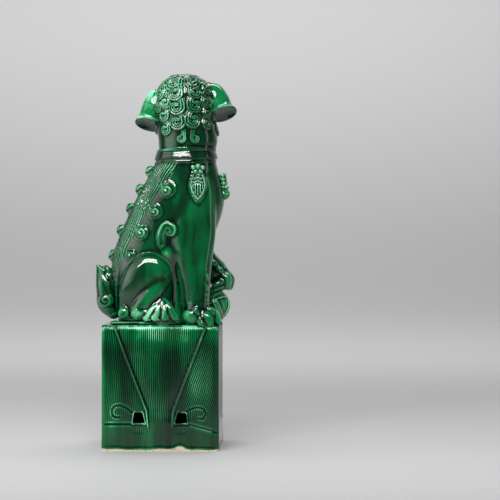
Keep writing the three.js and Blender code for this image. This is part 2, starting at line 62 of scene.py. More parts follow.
@dataclass(frozen=True)
class Site:
    """Where the figure stands: plan measures run from the middle of the plinth's top slab."""

    x: float
    y: float

    @classmethod
    def of_frame(cls) -> "Site":
        """Reads the plinth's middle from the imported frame."""
        low, high = (np.array(corner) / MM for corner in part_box("plinth_top"))
        return cls((low[0] + high[0]) / 2, (low[1] + high[1]) / 2)

    def local_box(self, node: str) -> tuple[Array, Array]:
        """A node's lowest and highest corners, in the figure's millimetres."""
        shift = np.array([self.x, self.y, 0.0])
        low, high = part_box(node)
        return np.array(low) / MM - shift, np.array(high) / MM - shift

    def middle(self, node: str) -> Array:
        """The centre of a node's box, in the figure's millimetres."""
        low, high = self.local_box(node)
        return (low + high) / 2


SITE = Site.of_frame()
SHARP_EDGE = math.radians(62)  # a crease sharper than this isn't shaded round


def smooth_curve(x: Array, xs: Sequence[float], ys: Sequence[float]) -> Array:
    """Interpolates with a cubic that passes through every listed value.

    Args:
        x: Where to read the curve.
        xs: Rising positions of the listed values.
        ys: The listed values.

    Returns:
        The curve's value at each x.
    """
    xs, ys = np.asarray(xs, float), np.asarray(ys, float)
    slope = np.gradient(ys, xs)
    i = np.clip(np.searchsorted(xs, x) - 1, 0, len(xs) - 2)
    h = xs[i + 1] - xs[i]
    t = np.clip((x - xs[i]) / h, 0.0, 1.0)
    t2, t3 = t * t, t * t * t
    return (
        (2 * t3 - 3 * t2 + 1) * ys[i]
        + (t3 - 2 * t2 + t) * h * slope[i]
        + (3 * t2 - 2 * t3) * ys[i + 1]
        + (t3 - t2) * h * slope[i + 1]
    )


def ease(low: float, high: float, x: Array) -> Array:
    """Rises smoothly from 0 at low to 1 at high."""
    t = np.clip((x - low) / (high - low), 0.0, 1.0)
    return t * t * (3 - 2 * t)


def hump(x: Array, width: float, power: int = 2) -> Array:
    """A bell curve: 1 at 0, and 1/e a width away on either side."""
    return np.exp(-((x / width) ** power))


def ball_angles(u: Array, v: Array) -> tuple[Array, Array]:
    """The turn and the tilt, in radians, of a place on a sheet wrapped round a ball."""
    return u * 2 * math.pi, (v - 0.5) * math.pi


def path_lengths(points: Array) -> Array:
    """How far along its path each point lies."""
    return np.r_[0.0, np.cumsum(np.linalg.norm(np.diff(points, axis=0), axis=1))]


def unit(v: Array) -> Array:
    """Scales vectors along the last axis to length one."""
    return v / np.maximum(np.linalg.norm(v, axis=-1, keepdims=True), 1e-9)


def through(points: Sequence[Sequence[float]], count: int) -> Array:
    """Points spread along a smooth curve through the given ones."""
    given = np.asarray(points, float)
    step = path_lengths(given)
    at = np.linspace(0.0, step[-1], count)
    return np.stack([smooth_curve(at, step, given[:, k]) for k in range(given.shape[1])], axis=1)


# ---- Carving ----------------------------------------------------------------------------------


@dataclass(frozen=True)
class Seat:
    """A place on a surface: its point, the directions right and up along it, and its normal."""

    point: Array
    right: Array
    up: Array
    out: Array

    @classmethod
    def facing(cls, point: Array, out: Array) -> "Seat":
        """Makes a seat whose up direction is as near the world's as the surface allows."""
        out = unit(np.asarray(out, float))
        up = np.array([0.0, 0.0, 1.0]) - out * out[2]
        if np.linalg.norm(up) < 0.05:
            up = np.array([0.0, 1.0, 0.0]) - out * out[1]
        up = unit(up)
        return cls(np.asarray(point, float), np.cross(up, out), up, out)

    def place(self, x: Array, z: Array, h: Array) -> Array:
        """Carries seat coordinates (right, up, out) into the figure."""
        return (
            self.point
            + np.asarray(x)[..., None] * self.right
            + np.asarray(z)[..., None] * self.up
            + np.asarray(h)[..., None] * self.out
        )


@dataclass(frozen=True)
class Lock:
    """A lock of hair laid flat: its path, its half width along the path, and its strands."""

    path: Array
    half: Array
    lift: float = 1.5
    strands: int = 3
    groove: float = 0.4

    @classmethod
    def snail(cls, radius: float, hand: int, tail: float, turns: float, **look: float) -> "Lock":
        """A lock that falls beside a parting and rolls up outwards.

        Args:
            radius: Of the rolled end.
            hand: +1 rolls to the right, -1 to the left.
            tail: Length of the straight part above the roll.
            turns: Of the roll.
            **look: Lift, strands and groove of the lock.

        Returns:
            The lock, about the roll's centre.
        """
        wide = 0.47 * radius
        t = np.linspace(0.0, 1.0, 26)
        angle = math.pi + t * turns * 2 * math.pi
        reach = (radius - wide) * (1 - 0.45 * ease(0.5, 1.0, t))
        roll = np.stack([reach * np.cos(angle), reach * np.sin(angle)], axis=1)
        fall = through([(0.05 * radius, tail), (-0.42 * radius, tail * 0.55), roll[0]], 9)[:-1]
        path = np.vstack([fall, roll]) * np.array([hand, 1.0])
        half = np.interp(np.arange(len(path)), [0, 8, 20, len(path) - 1], [0.85, 1.0, 0.95, 0.52])
        return cls(path, half * wide, **look)

    def height(self, x: Array, z: Array) -> Array:
        """The lock's height over points given in its own plane."""
        at = np.stack([x, z], axis=1)
        start, run = self.path[:-1], np.diff(self.path, axis=0)
        off = at[:, None, :] - start[None]
        t = np.clip((off * run).sum(-1) / np.maximum((run * run).sum(-1), 1e-9), 0, 1)
        off = off - t[..., None] * run[None]
        near = np.argmin((off * off).sum(-1), axis=1)
        row = np.arange(len(at))
        off, t = off[row, near], t[row, near]
        half = self.half[near] * (1 - t) + self.half[near + 1] * t
        side = np.sign(run[near, 0] * off[:, 1] - run[near, 1] * off[:, 0])
        s = side * np.linalg.norm(off, axis=1) / half
        body = np.clip(1 - np.abs(s) ** 3.2, 0, 1) ** 0.7
        comb = 0.5 - 0.5 * np.cos(math.pi * self.strands * (s + 1))
        rise = 0.55 + 0.45 * np.clip((near + t) / 12, 0, 1)
        return body * rise * (self.lift - self.groove + self.groove * comb**0.8)


@dataclass
class Carving:
    """Locks that are carved on one surface."""

    locks: list[tuple[Lock, Seat]] = field(default_factory=list)

    def add(self, lock: Lock, seat: Seat) -> None:
        """Lays a lock on the surface."""
        self.locks.append((lock, seat))

    def relief(self, points: Array, normals: Array) -> Array:
        """How far each point of the surface rises."""
        flat, way = points.reshape(-1, 3), normals.reshape(-1, 3)
        rise = np.zeros(len(flat))
        for lock, seat in self.locks:
            reach = np.abs(lock.path).max() + lock.half.max() + 0.5
            off = flat - seat.point
            close = np.flatnonzero(((off * off).sum(1) < (1.5 * reach) ** 2) & (way @ seat.out > 0.15))
            if close.size:
                found = lock.height(off[close] @ seat.right, off[close] @ seat.up)
                rise[close] = np.maximum(rise[close], found)
        return rise.reshape(points.shape[:-1])


# ---- Clay -------------------------------------------------------------------------------------


def read_points(mesh: bpy.types.Mesh, kind: str = "co") -> Array:
    """All vertex places of a mesh, or with the kind "normal" their normals."""
    flat = np.empty(len(mesh.vertices) * 3)
    mesh.vertices.foreach_get(kind, flat)
    return flat.reshape(-1, 3)


def write_points(mesh: bpy.types.Mesh, points: Array) -> None:
    """Moves all vertices of a mesh."""
    mesh.vertices.foreach_set("co", np.ascontiguousarray(points).ravel())
    mesh.update()


def grid_normals(points: Array) -> Array:
    """Outward normals of a grid of points whose columns run round it anticlockwise."""
    ring = points[:, :-1]
    along = np.roll(ring, -1, axis=1) - np.roll(ring, 1, axis=1)
    along = np.concatenate([along, along[:, :1]], axis=1)
    return unit(np.cross(along, np.gradient(points, axis=0)))


Shape = Callable[[Array, Array], Array]
Relief = Callable[[Array, Array, Array, Array], Array]


@dataclass(frozen=True)
class Slab:
    """A flat sheet of soft clay, ruled in columns and rows, that is bent into a form."""

    columns: int
    rows: int

    def bend(self, name: str, shape: Shape, relief: Relief | None = None) -> bpy.types.Mesh:
        """Bends the sheet, raises its relief and closes its seam, poles and ends.

        Args:
            name: Of the new mesh.
            shape: Gives the place, in the figure's millimetres, of each (u, v) from 0 to 1.
            relief: Gives the rise along the normal from places, normals, u and v.

        Returns:
            A closed mesh in the figure's millimetres.
        """
        sheet = bmesh.new()
        bmesh.ops.create_grid(sheet, x_segments=self.columns, y_segments=self.rows, size=0.5)
        mesh = bpy.data.meshes.new(name)
        sheet.to_mesh(mesh)
        sheet.free()
        flat = read_points(mesh)
        order = np.lexsort((flat[:, 0].round(6), flat[:, 1].round(6)))
        wide = len(np.unique(flat[:, 0].round(6)))
        u, v = ((flat[order, k] + 0.5).reshape(-1, wide) for k in (0, 1))
        place = shape(u, v)
        if relief is not None:
            way = grid_normals(place)
            place = place + way * relief(place, way, u, v)[..., None]
            place[:, -1] = place[:, 0]
        flat[order] = place.reshape(-1, 3)
        write_points(mesh, flat)
        closed = bmesh.new()
        closed.from_mesh(mesh)
        bmesh.ops.remove_doubles(closed, verts=closed.verts, dist=2e-3)
        open_edges = [edge for edge in closed.edges if edge.is_boundary]
        if open_edges:
            bmesh.ops.holes_fill(closed, edges=open_edges, sides=0)
        bmesh.ops.recalc_face_normals(closed, faces=closed.faces)
        closed.to_mesh(mesh)
        closed.free()
        return mesh


def loft(sections: Sequence[Sequence[float]], round_ends: tuple[float, float] = (0.0, 0.0)) -> Shape:
    """A form stacked from level ellipses.

    Args:
        sections: Rows of height, x, y, half width along X, half width along Y.
        round_ends: Height over which the bottom and the top are rounded to a point.

    Returns:
        The form's shape; u runs round it from the back (-X) and v runs up it.
    """
    table = np.asarray(sections, float)
    low, high = table[0, 0], table[-1, 0]

    def shape(u: Array, v: Array) -> Array:
        """Places the sheet on the stacked form."""
        turn = math.pi + u * 2 * math.pi
        z = low + (high - low) * v
        x, y, rx, ry = (smooth_curve(z, table[:, 0], table[:, k]) for k in (1, 2, 3, 4))
        shrink = np.ones_like(z)
        for end, from_end in zip(round_ends, (z - low, high - z)):
            if end > 0:
                t = np.clip(1 - from_end / end, 0, 1)
                shrink = shrink * np.sqrt(np.maximum(1 - t * t, 0))
        return np.stack([x + rx * shrink * np.cos(turn), y + ry * shrink * np.sin(turn), z], axis=-1)

    return shape


def limb(
    points: Sequence[Sequence[float]],
    radii: Sequence[float],
    width: float = 1.0,
    across: Sequence[float] = (0, 1, 0),
) -> Shape:
    """A form swept along a path, with round ends.

    Args:
        points: Places along the path.
        radii: The half height at each place.
        width: Half width across, as a share of the half height.
        across: The direction of the form's width.

    Returns:
        The form's shape; u runs round it and v runs along it.
    """
    given, sizes = np.asarray(points, float), np.asarray(radii, float)
    step = path_lengths(given)

    def spot(t: Array) -> Array:
        """The place on the path at a length along it."""
        return np.stack([smooth_curve(t, step, given[:, k]) for k in range(3)], axis=-1)

    def shape(u: Array, v: Array) -> Array:
        """Places the sheet on the swept form."""
        first, last = sizes[0], sizes[-1]
        whole = step[-1] + first + last
        cap = (1 - np.cos(math.pi * v)) / 2
        s = (0.35 * cap + 0.65 * v) * whole - first
        t = np.clip(s, 0, step[-1])
        spine = spot(t)
        along = unit(spot(np.clip(t + 0.4, 0, step[-1])) - spot(np.clip(t - 0.4, 0, step[-1])))
        over = np.where(s < 0, s / first, np.where(s > step[-1], (s - step[-1]) / last, 0.0))
        over = np.clip(over, -1, 1)
        size = smooth_curve(t, step, sizes)
        ring = size * np.sqrt(1 - over * over)
        side = unit(np.asarray(across, float) - along * (along @ np.asarray(across, float))[..., None])
        rise = np.cross(along, side)
        turn = u * 2 * math.pi
        return (
            spine
            + along * (over * size)[..., None]
            + side * (ring * width * np.cos(turn))[..., None]
            + rise * (ring * np.sin(turn))[..., None]
        )

    return shape


def egg(centre: Sequence[float], radii: Sequence[float]) -> Shape:
    """An egg-shaped form about a centre; v runs from its lower to its upper pole."""

    def shape(u: Array, v: Array) -> Array:
        """Places the sheet on the egg."""
        turn, tilt = ball_angles(u, v)
        ball = np.stack([np.cos(tilt) * np.cos(turn), np.cos(tilt) * np.sin(turn), np.sin(tilt)], -1)
        return ball * np.asarray(radii, float) + np.asarray(centre, float)

    return shape


def scroll(
    seat: Seat,
    hand: int,
    radius: float,
    tall: float = 1.08,
    proud: float = 0.46,
    turns: float = 1.7,
    depth: float = 1.2,
) -> Shape:
    """A raised snail scroll seated on a surface.

    Args:
        seat: Where its middle sits.
        hand: +1 rolls one way, -1 the other.
        radius: Its half width.
        tall: Its half height, as a share of the radius.
        proud: How far its middle stands out, as a share of the radius.
        turns: Of the groove.
        depth: Of the groove in millimetres.

    Returns:
        The scroll's shape.
    """

    def groove(x: Array, z: Array) -> Array:
        """The rolled groove's rise at places right of and above the middle."""
        r, turn = np.hypot(x, z) / radius, np.arctan2(z, x) * hand
        wave = np.abs(np.cos(0.5 * (turn + 2 * math.pi * turns * r**0.9)))
        return (wave**0.8 - 0.6) * depth * ease(0.05, 0.22, r)

    def shape(u: Array, v: Array) -> Array:
        """Places the sheet on the scroll."""
        turn, tilt = ball_angles(u, v)
        x, z = radius * np.cos(tilt) * np.cos(turn), tall * radius * np.cos(tilt) * np.sin(turn)
        h = proud * radius * np.sin(tilt)
        return seat.place(x, z, h + np.where(tilt > 0, groove(x, z) * np.sin(tilt), 0))

    return shape


def whisker(seat: Seat, hand: int) -> Shape:
    """A rolled tuft of hair on the face."""
    return scroll(seat, hand, 5.4, 1.0, 4.4 / 5.4, 1.6, 1.0)


def mirrored(shape: Shape) -> Shape:
    """The same form on the animal's other side."""

    def flipped(u: Array, v: Array) -> Array:
        """Places the sheet on the mirrored form."""
        return shape(1 - u, v) * np.array([1.0, -1.0, 1.0])

    return flipped


def edge_arrays(mesh: bpy.types.Mesh) -> tuple[Array, Array]:
    """Both ends of every edge of a mesh."""
    ends = np.empty(len(mesh.edges) * 2, dtype=np.int32)
    mesh.edges.foreach_get("vertices", ends)
    return ends[::2], ends[1::2]


def averaged(values: Array, a: Array, b: Array, times: int, share: float = 0.5) -> Array:
    """Blends each vertex's values with its neighbours', several times."""

    def gathered(ends: Array, weights: Array | None = None) -> Array:
        """What arrives at each vertex over the edges that end there."""
        return np.bincount(ends, weights=weights, minlength=len(values))

    degree = np.maximum(gathered(a) + gathered(b), 1)
    out = values.astype(float).copy()
    for _ in range(times):
        total = np.stack(
            [gathered(a, out[b, k]) + gathered(b, out[a, k]) for k in range(out.shape[1])], axis=1
        )
        out = out * (1 - share) + share * total / degree[:, None]
    return out


def softened(mesh: bpy.types.Mesh, times: int, share: Callable[[Array], Array] | None = None) -> None:
    """Smooths a skin, all over or by the share that each place gets."""
    a, b = edge_arrays(mesh)
    points = read_points(mesh)
    soft = averaged(points, a, b, times)
    write_points(mesh, soft if share is None else points + (soft - points) * share(points)[:, None])


def shaped(mesh: bpy.types.Mesh, grain: float, cutters: Iterable[bpy.types.Mesh] = ()) -> bpy.types.Mesh:
    """Works a mesh into one skin and cuts forms out of it.

    Args:
        mesh: The mesh to work.
        grain: Size of the skin's facets in millimetres; 0 leaves the mesh's own.
        cutters: Forms that are cut out.

    Returns:
        The new mesh.
    """
    holder = bpy.data.objects.new("worked", mesh)
    bpy.context.collection.objects.link(holder)
    tools = []

    def melt() -> None:
        """Adds one pass that fuses the mesh into one skin."""
        if grain:
            step = holder.modifiers.new("melt", "REMESH")
            step.mode, step.voxel_size, step.adaptivity = "VOXEL", grain, 0.0

    melt()
    for cutter in cutters:
        tool = bpy.data.objects.new("cutter", cutter)
        bpy.context.collection.objects.link(tool)
        cut = holder.modifiers.new("cut", "BOOLEAN")
        cut.operation, cut.object, cut.solver = "DIFFERENCE", tool, "EXACT"
        tools.append(tool)
    if tools:
        melt()
    graph = bpy.context.evaluated_depsgraph_get()
    made = bpy.data.meshes.new_from_object(holder.evaluated_get(graph))
    for leftover in (holder, *tools):
        bpy.data.objects.remove(leftover)
    return made


def carved(mesh: bpy.types.Mesh, cutters: Iterable[bpy.types.Mesh]) -> bpy.types.Mesh:
    """Cuts forms out of a mesh."""
    return shaped(mesh, 0.0, cutters)


def raised(mesh: bpy.types.Mesh, relief: Relief) -> bpy.types.Mesh:
    """Raises a relief on a finished skin, along its normals."""
    points, normals = read_points(mesh), read_points(mesh, "normal")
    none = np.zeros(len(points))
    write_points(mesh, points + normals * relief(points, normals, none, none)[:, None])
    return mesh


@dataclass
class Clay:
    """A lump of clay put together from bent sheets, in the figure's millimetres."""

    name: str
    flip: bool = False  # whether the lump is for the animal's left side, drawn as if for its right
    parts: list[bpy.types.Mesh] = field(default_factory=list)

    def add(self, shape: Shape, slab: Slab, relief: Relief | None = None) -> "Clay":
        """Presses one more form into the lump."""
        self.parts.append(slab.bend(self.name, mirrored(shape) if self.flip else shape, relief))
        return self

    def roll(
        self, points: Sequence[Sequence[float]], radii: Sequence[float], sheet: tuple[int, int], *look: object
    ) -> "Clay":
        """Adds a limb bent from a sheet of so many columns and rows; look is its width and across."""
        return self.add(limb(points, radii, *look), Slab(*sheet))

    def dab(self, centre: Sequence[float], radii: Sequence[float], sheet: tuple[int, int]) -> "Clay":
        """Adds an egg-shaped form bent from a sheet of so many columns and rows."""
        return self.add(egg(centre, radii), Slab(*sheet))

    def lump(self) -> bpy.types.Mesh:
        """All forms in one mesh, still overlapping."""
        whole = bmesh.new()
        for part in self.parts:
            whole.from_mesh(part)
        mesh = bpy.data.meshes.new(self.name)
        whole.to_mesh(mesh)
        whole.free()
        return mesh

    def fused(self, grain: float, soften: int = 3, cutters: Iterable[bpy.types.Mesh] = ()) -> bpy.types.Mesh:
        """Works the forms into one skin.

        Args:
            grain: Size of the skin's facets in millimetres.
            soften: How many times the skin is smoothed.
            cutters: Forms that are cut out of the lump first.

        Returns:
            The one skin.
        """
        mesh = shaped(self.lump(), grain, cutters)
        if soften:
            softened(mesh, soften)
        return mesh


# ---- Glaze ------------------------------------------------------------------------------------


@dataclass
class Piece:
    """One named piece of the statue: its skin, the nodes it stands for and its finish."""

    name: str
    mesh: bpy.types.Mesh
    nodes: tuple[str, ...]
    slot: str = "deep_green_glaze"
    bare: Callable[[Array], Array] | None = None
    seat: bool = True  # whether glaze fills the crease where it meets its neighbours
    # runs and thin make the glaze paler (+) or darker (-): mostly thinner or thicker glaze, and on the ears,
    # the crown, the hind legs and under the plinth's top edge, painted light and shade.
    runs: float = 0.0  # how much thinner (+) or thicker (-) the glaze lies here than elsewhere
    thin: Callable[[Array], Array] | None = None  # the same, place by place


@dataclass
class GlazeCoat:
    """The coat of glaze: it rounds creases, pools in hollows and runs thin on edges."""

    reach: float = 2.2  # how far from a crease the glaze gathers
    fillet: float = 0.55  # how much it raises the surface there
    even: float = 0.58  # the glaze's depth on a flat face, from 0 thin to 1 pooled
    bend_gain: float = 8.0  # how much deeper it is per millimetre of hollow
    thinnest: float = -0.46  # the most that a ridge takes off it
    deepest: float = 0.5  # the most that a hollow adds
    crease_gain: float = 0.42  # what a crease adds

    def trees(self, pieces: Sequence[Piece]) -> list[tuple[BVHTree, Array, Array]]:
        """A search tree and a box for each piece."""
        found = []
        for piece in pieces:
            shell = bmesh.new()
            shell.from_mesh(piece.mesh)
            points = read_points(piece.mesh)
            found.append((BVHTree.FromBMesh(shell), points.min(0), points.max(0)))
            shell.free()
        return found

    def crease(self, piece: Piece, others: Sequence[tuple[BVHTree, Array, Array]], points: Array) -> Array:
        """How close each vertex is to a neighbouring piece: 1 touches it, 0 is out of reach."""
        near = np.zeros(len(points))
        low, high = points.min(0) - self.reach, points.max(0) + self.reach
        for tree, box_low, box_high in others:
            if (box_low > high).any() or (box_high < low).any():
                continue
            inside = ((points > box_low - self.reach) & (points < box_high + self.reach)).all(1)
            for index in np.flatnonzero(inside):
                spot = Vector(points[index])
                hit, normal, _, gap = tree.find_nearest(spot, self.reach)
                if hit is None:
                    continue
                value = 1.0 if (spot - hit).dot(normal) < 0 else 1 - gap / self.reach
                near[index] = max(near[index], value)
        return near

    def hollows(self, mesh: bpy.types.Mesh, points: Array) -> Array:
        """How hollow (+) or ridged (-) the skin is at each vertex, in millimetres."""
        a, b = edge_arrays(mesh)
        fine = averaged(points, a, b, 2)
        broad = averaged(fine, a, b, 7)
        bend = ((broad - fine) * read_points(mesh, "normal")).sum(1)
        return averaged(bend[:, None], a, b, 1)[:, 0]

    def lay(self, pieces: Sequence[Piece]) -> None:
        """Coats every piece and stores the glaze's depth on it."""
        trees = self.trees(pieces)
        for index, piece in enumerate(pieces):
            points = read_points(piece.mesh)
            others = [tree for k, tree in enumerate(trees) if k != index]
            near = self.crease(piece, others, points)
            if piece.seat:
                lift = self.fillet * np.where(near < 1, near, 0) ** 2
                write_points(piece.mesh, points + read_points(piece.mesh, "normal") * lift[:, None])
            bend = self.hollows(piece.mesh, read_points(piece.mesh))
            runs = piece.runs + (piece.thin(points) if piece.thin else 0.0)
            by_bend = np.clip(bend * self.bend_gain, self.thinnest, self.deepest)
            pool = np.clip(self.even - runs + by_bend + self.crease_gain * near**1.5, 0, 1)
            self.store(piece.mesh, "glaze_depth", pool)
            bare = piece.bare(points) if piece.bare else np.zeros(len(points))
            self.store(piece.mesh, "bare_clay", bare)

    @staticmethod
    def store(mesh: bpy.types.Mesh, name: str, values: Array) -> None:
        """Keeps one number per vertex on the mesh."""
        layer = mesh.attributes.new(name, "FLOAT", "POINT")
        layer.data.foreach_set("value", np.ascontiguousarray(values, dtype=np.float32))


class Tone(Enum):
    """The glaze's colours, linear, from where it pools to where it runs thin."""

    POOLED = (0.0002, 0.008, 0.0035, 1.0)
    DEEP = (0.0003, 0.040, 0.012, 1.0)
    BRIGHT = (0.0010, 0.19, 0.052, 1.0)
    THIN = (0.24, 0.76, 0.44, 1.0)
    BISCUIT = (0.56, 0.50, 0.36, 1.0)
    IRON = (0.30, 0.19, 0.09, 1.0)


@dataclass(frozen=True)
class Wiring:
    """Adds nodes to a shader's tree, with their values set and their links made."""

    tree: bpy.types.NodeTree

    def feed(self, node: bpy.types.Node, inputs: dict[str | int, object]) -> None:
        """Links each input that is given another node's output, and sets the rest."""
        for name, value in inputs.items():
            if isinstance(value, bpy.types.NodeSocket):
                self.tree.links.new(value, node.inputs[name])
            else:
                node.inputs[name].default_value = value

    def add(
        self, kind: str, inputs: dict[str | int, object] | None = None, **settings: object
    ) -> bpy.types.Node:
        """Adds a node.

        Args:
            kind: Its type, without the prefix of all shader nodes.
            inputs: A value or another node's output for each input.
            **settings: The node's own options, which come before its inputs.

        Returns:
            The node.
        """
        node = self.tree.nodes.new(f"ShaderNode{kind}")
        for name, value in settings.items():
            setattr(node, name, value)
        self.feed(node, inputs or {})
        return node

    def noise(self, where: bpy.types.NodeSocket, scale: float, detail: float) -> bpy.types.NodeSocket:
        """A noise over places."""
        return self.add("TexNoise", {"Vector": where, "Scale": scale, "Detail": detail}).outputs["Fac"]

    def drawn_out(self, where: bpy.types.NodeSocket, share: float) -> bpy.types.NodeSocket:
        """Places whose height counts only for a share, so that a noise runs down the piece."""
        return self.add("Mapping", {"Vector": where, "Scale": (1.0, 1.0, share)}).outputs["Vector"]

    def spread(
        self, value: bpy.types.NodeSocket, given: tuple[float, float], made: tuple[float, float] = (0.0, 1.0)
    ) -> bpy.types.NodeSocket:
        """Carries one span of values over to another."""
        ends = {"From Min": given[0], "From Max": given[1], "To Min": made[0], "To Max": made[1]}
        return self.add("MapRange", {"Value": value, **ends}).outputs["Result"]

    def ramp(self, value: bpy.types.NodeSocket, marks: Sequence[tuple[float, tuple]]) -> bpy.types.Node:
        """Turns a value into a colour by marks along a ramp."""
        node = self.add("ValToRGB", {"Fac": value})
        stops = node.color_ramp.elements
        while len(stops) < len(marks):
            stops.new(0.5)
        for stop, (at, colour) in zip(stops, marks):
            stop.position, stop.color = at, colour
        return node


@dataclass(frozen=True)
class GlazeTone:
    """The shader group that turns the glaze's depth into its colour."""

    name: str = "glaze_tone"

    def group(self) -> bpy.types.NodeTree:
        """Builds the group, or finds it if it is built."""
        known = bpy.data.node_groups.get(self.name)
        if known:
            return known
        tree = bpy.data.node_groups.new(self.name, "ShaderNodeTree")
        for way, sockets in (
            ("INPUT", (("Depth", "Float"), ("Drift", "Float"))),
            ("OUTPUT", (("Colour", "Color"), ("Rough", "Float"), ("Swell", "Float"))),
        ):
            for label, kind in sockets:
                tree.interface.new_socket(label, in_out=way, socket_type=f"NodeSocket{kind}")
        wires = Wiring(tree)
        enter, leave = (tree.nodes.new(f"NodeGroup{end}") for end in ("Input", "Output"))
        where = wires.add("TexCoord").outputs["Object"]
        fine = wires.noise(where, 420.0, 4.0)
        patch = wires.spread(wires.noise(wires.drawn_out(where, 0.35), 24.0, 4.0), (0.38, 0.64))
        streak = wires.spread(
            wires.noise(wires.drawn_out(where, 0.10), 150.0, 3.0), (0.3, 0.7), (-0.10, 0.08)
        )
        drift = {0: patch, 1: enter.outputs["Drift"], 2: enter.outputs["Depth"]}
        drifted = wires.add("Math", drift, operation="MULTIPLY_ADD").outputs[0]
        specked = wires.add("Math", {0: fine, 1: 0.10, 2: drifted}, operation="MULTIPLY_ADD").outputs[0]
        total = wires.add("Math", {0: specked, 1: streak}).outputs[0]
        marks = ((0.06, Tone.THIN), (0.34, Tone.BRIGHT), (0.70, Tone.DEEP), (1.0, Tone.POOLED))
        colour = wires.ramp(total, [(at, tone.value) for at, tone in marks]).outputs["Color"]
        wires.feed(
            leave,
            {
                "Colour": colour,
                "Rough": wires.spread(fine, (0.0, 1.0), (0.035, 0.09)),
                "Swell": wires.noise(where, 900.0, 2.0),
            },
        )
        return tree


@dataclass(frozen=True)
class Glaze:
    """Emerald lead glaze over a pale body, glossy and deepest where it pools."""

    name: str
    drift: float = 0.36
    coat: float = 0.35
    index: float = 1.54
    clay_rough: float = 0.85

    def material(self) -> bpy.types.Material:
        """Builds the finish."""
        made = bpy.data.materials.new(self.name)
        made.use_nodes = True
        wires = Wiring(made.node_tree)
        layers = ("glaze_depth", "bare_clay")
        depth, bare = (wires.add("Attribute", attribute_name=name).outputs["Fac"] for name in layers)
        tone = wires.add("Group", {}, node_tree=GlazeTone().group())
        wires.feed(tone, {"Depth": depth, "Drift": self.drift})
        where = wires.add("TexCoord").outputs["Object"]
        grit = wires.spread(wires.noise(where, 700.0, 2.0), (0.25, 0.5))
        clays = {"Factor": grit, "A": Tone.IRON.value, "B": Tone.BISCUIT.value}
        clay = wires.add("Mix", clays, data_type="RGBA").outputs["Result"]
        colours = {"Factor": bare, "A": tone.outputs["Colour"], "B": clay}
        colour = wires.add("Mix", colours, data_type="RGBA").outputs["Result"]
        rough = wires.add("Mix", {"Factor": bare, "A": tone.outputs["Rough"], "B": self.clay_rough})
        bump = wires.add("Bump", {"Strength": 0.10, "Distance": 0.00008, "Height": tone.outputs["Swell"]})
        skin = made.node_tree.nodes["Principled BSDF"]
        wires.feed(
            skin, {"IOR": self.index, "Coat Weight": self.coat, "Coat Roughness": 0.02, "Coat IOR": 1.6}
        )
        wires.feed(
            skin,
            {
                "Base Color": colour,
                "Roughness": rough.outputs["Result"],
                "Coat Weight": wires.spread(bare, (0.0, 1.0), (self.coat, 0.0)),
                "Normal": bump.outputs["Normal"],
            },
        )
        return made


# ---- Plinth -----------------------------------------------------------------------------------


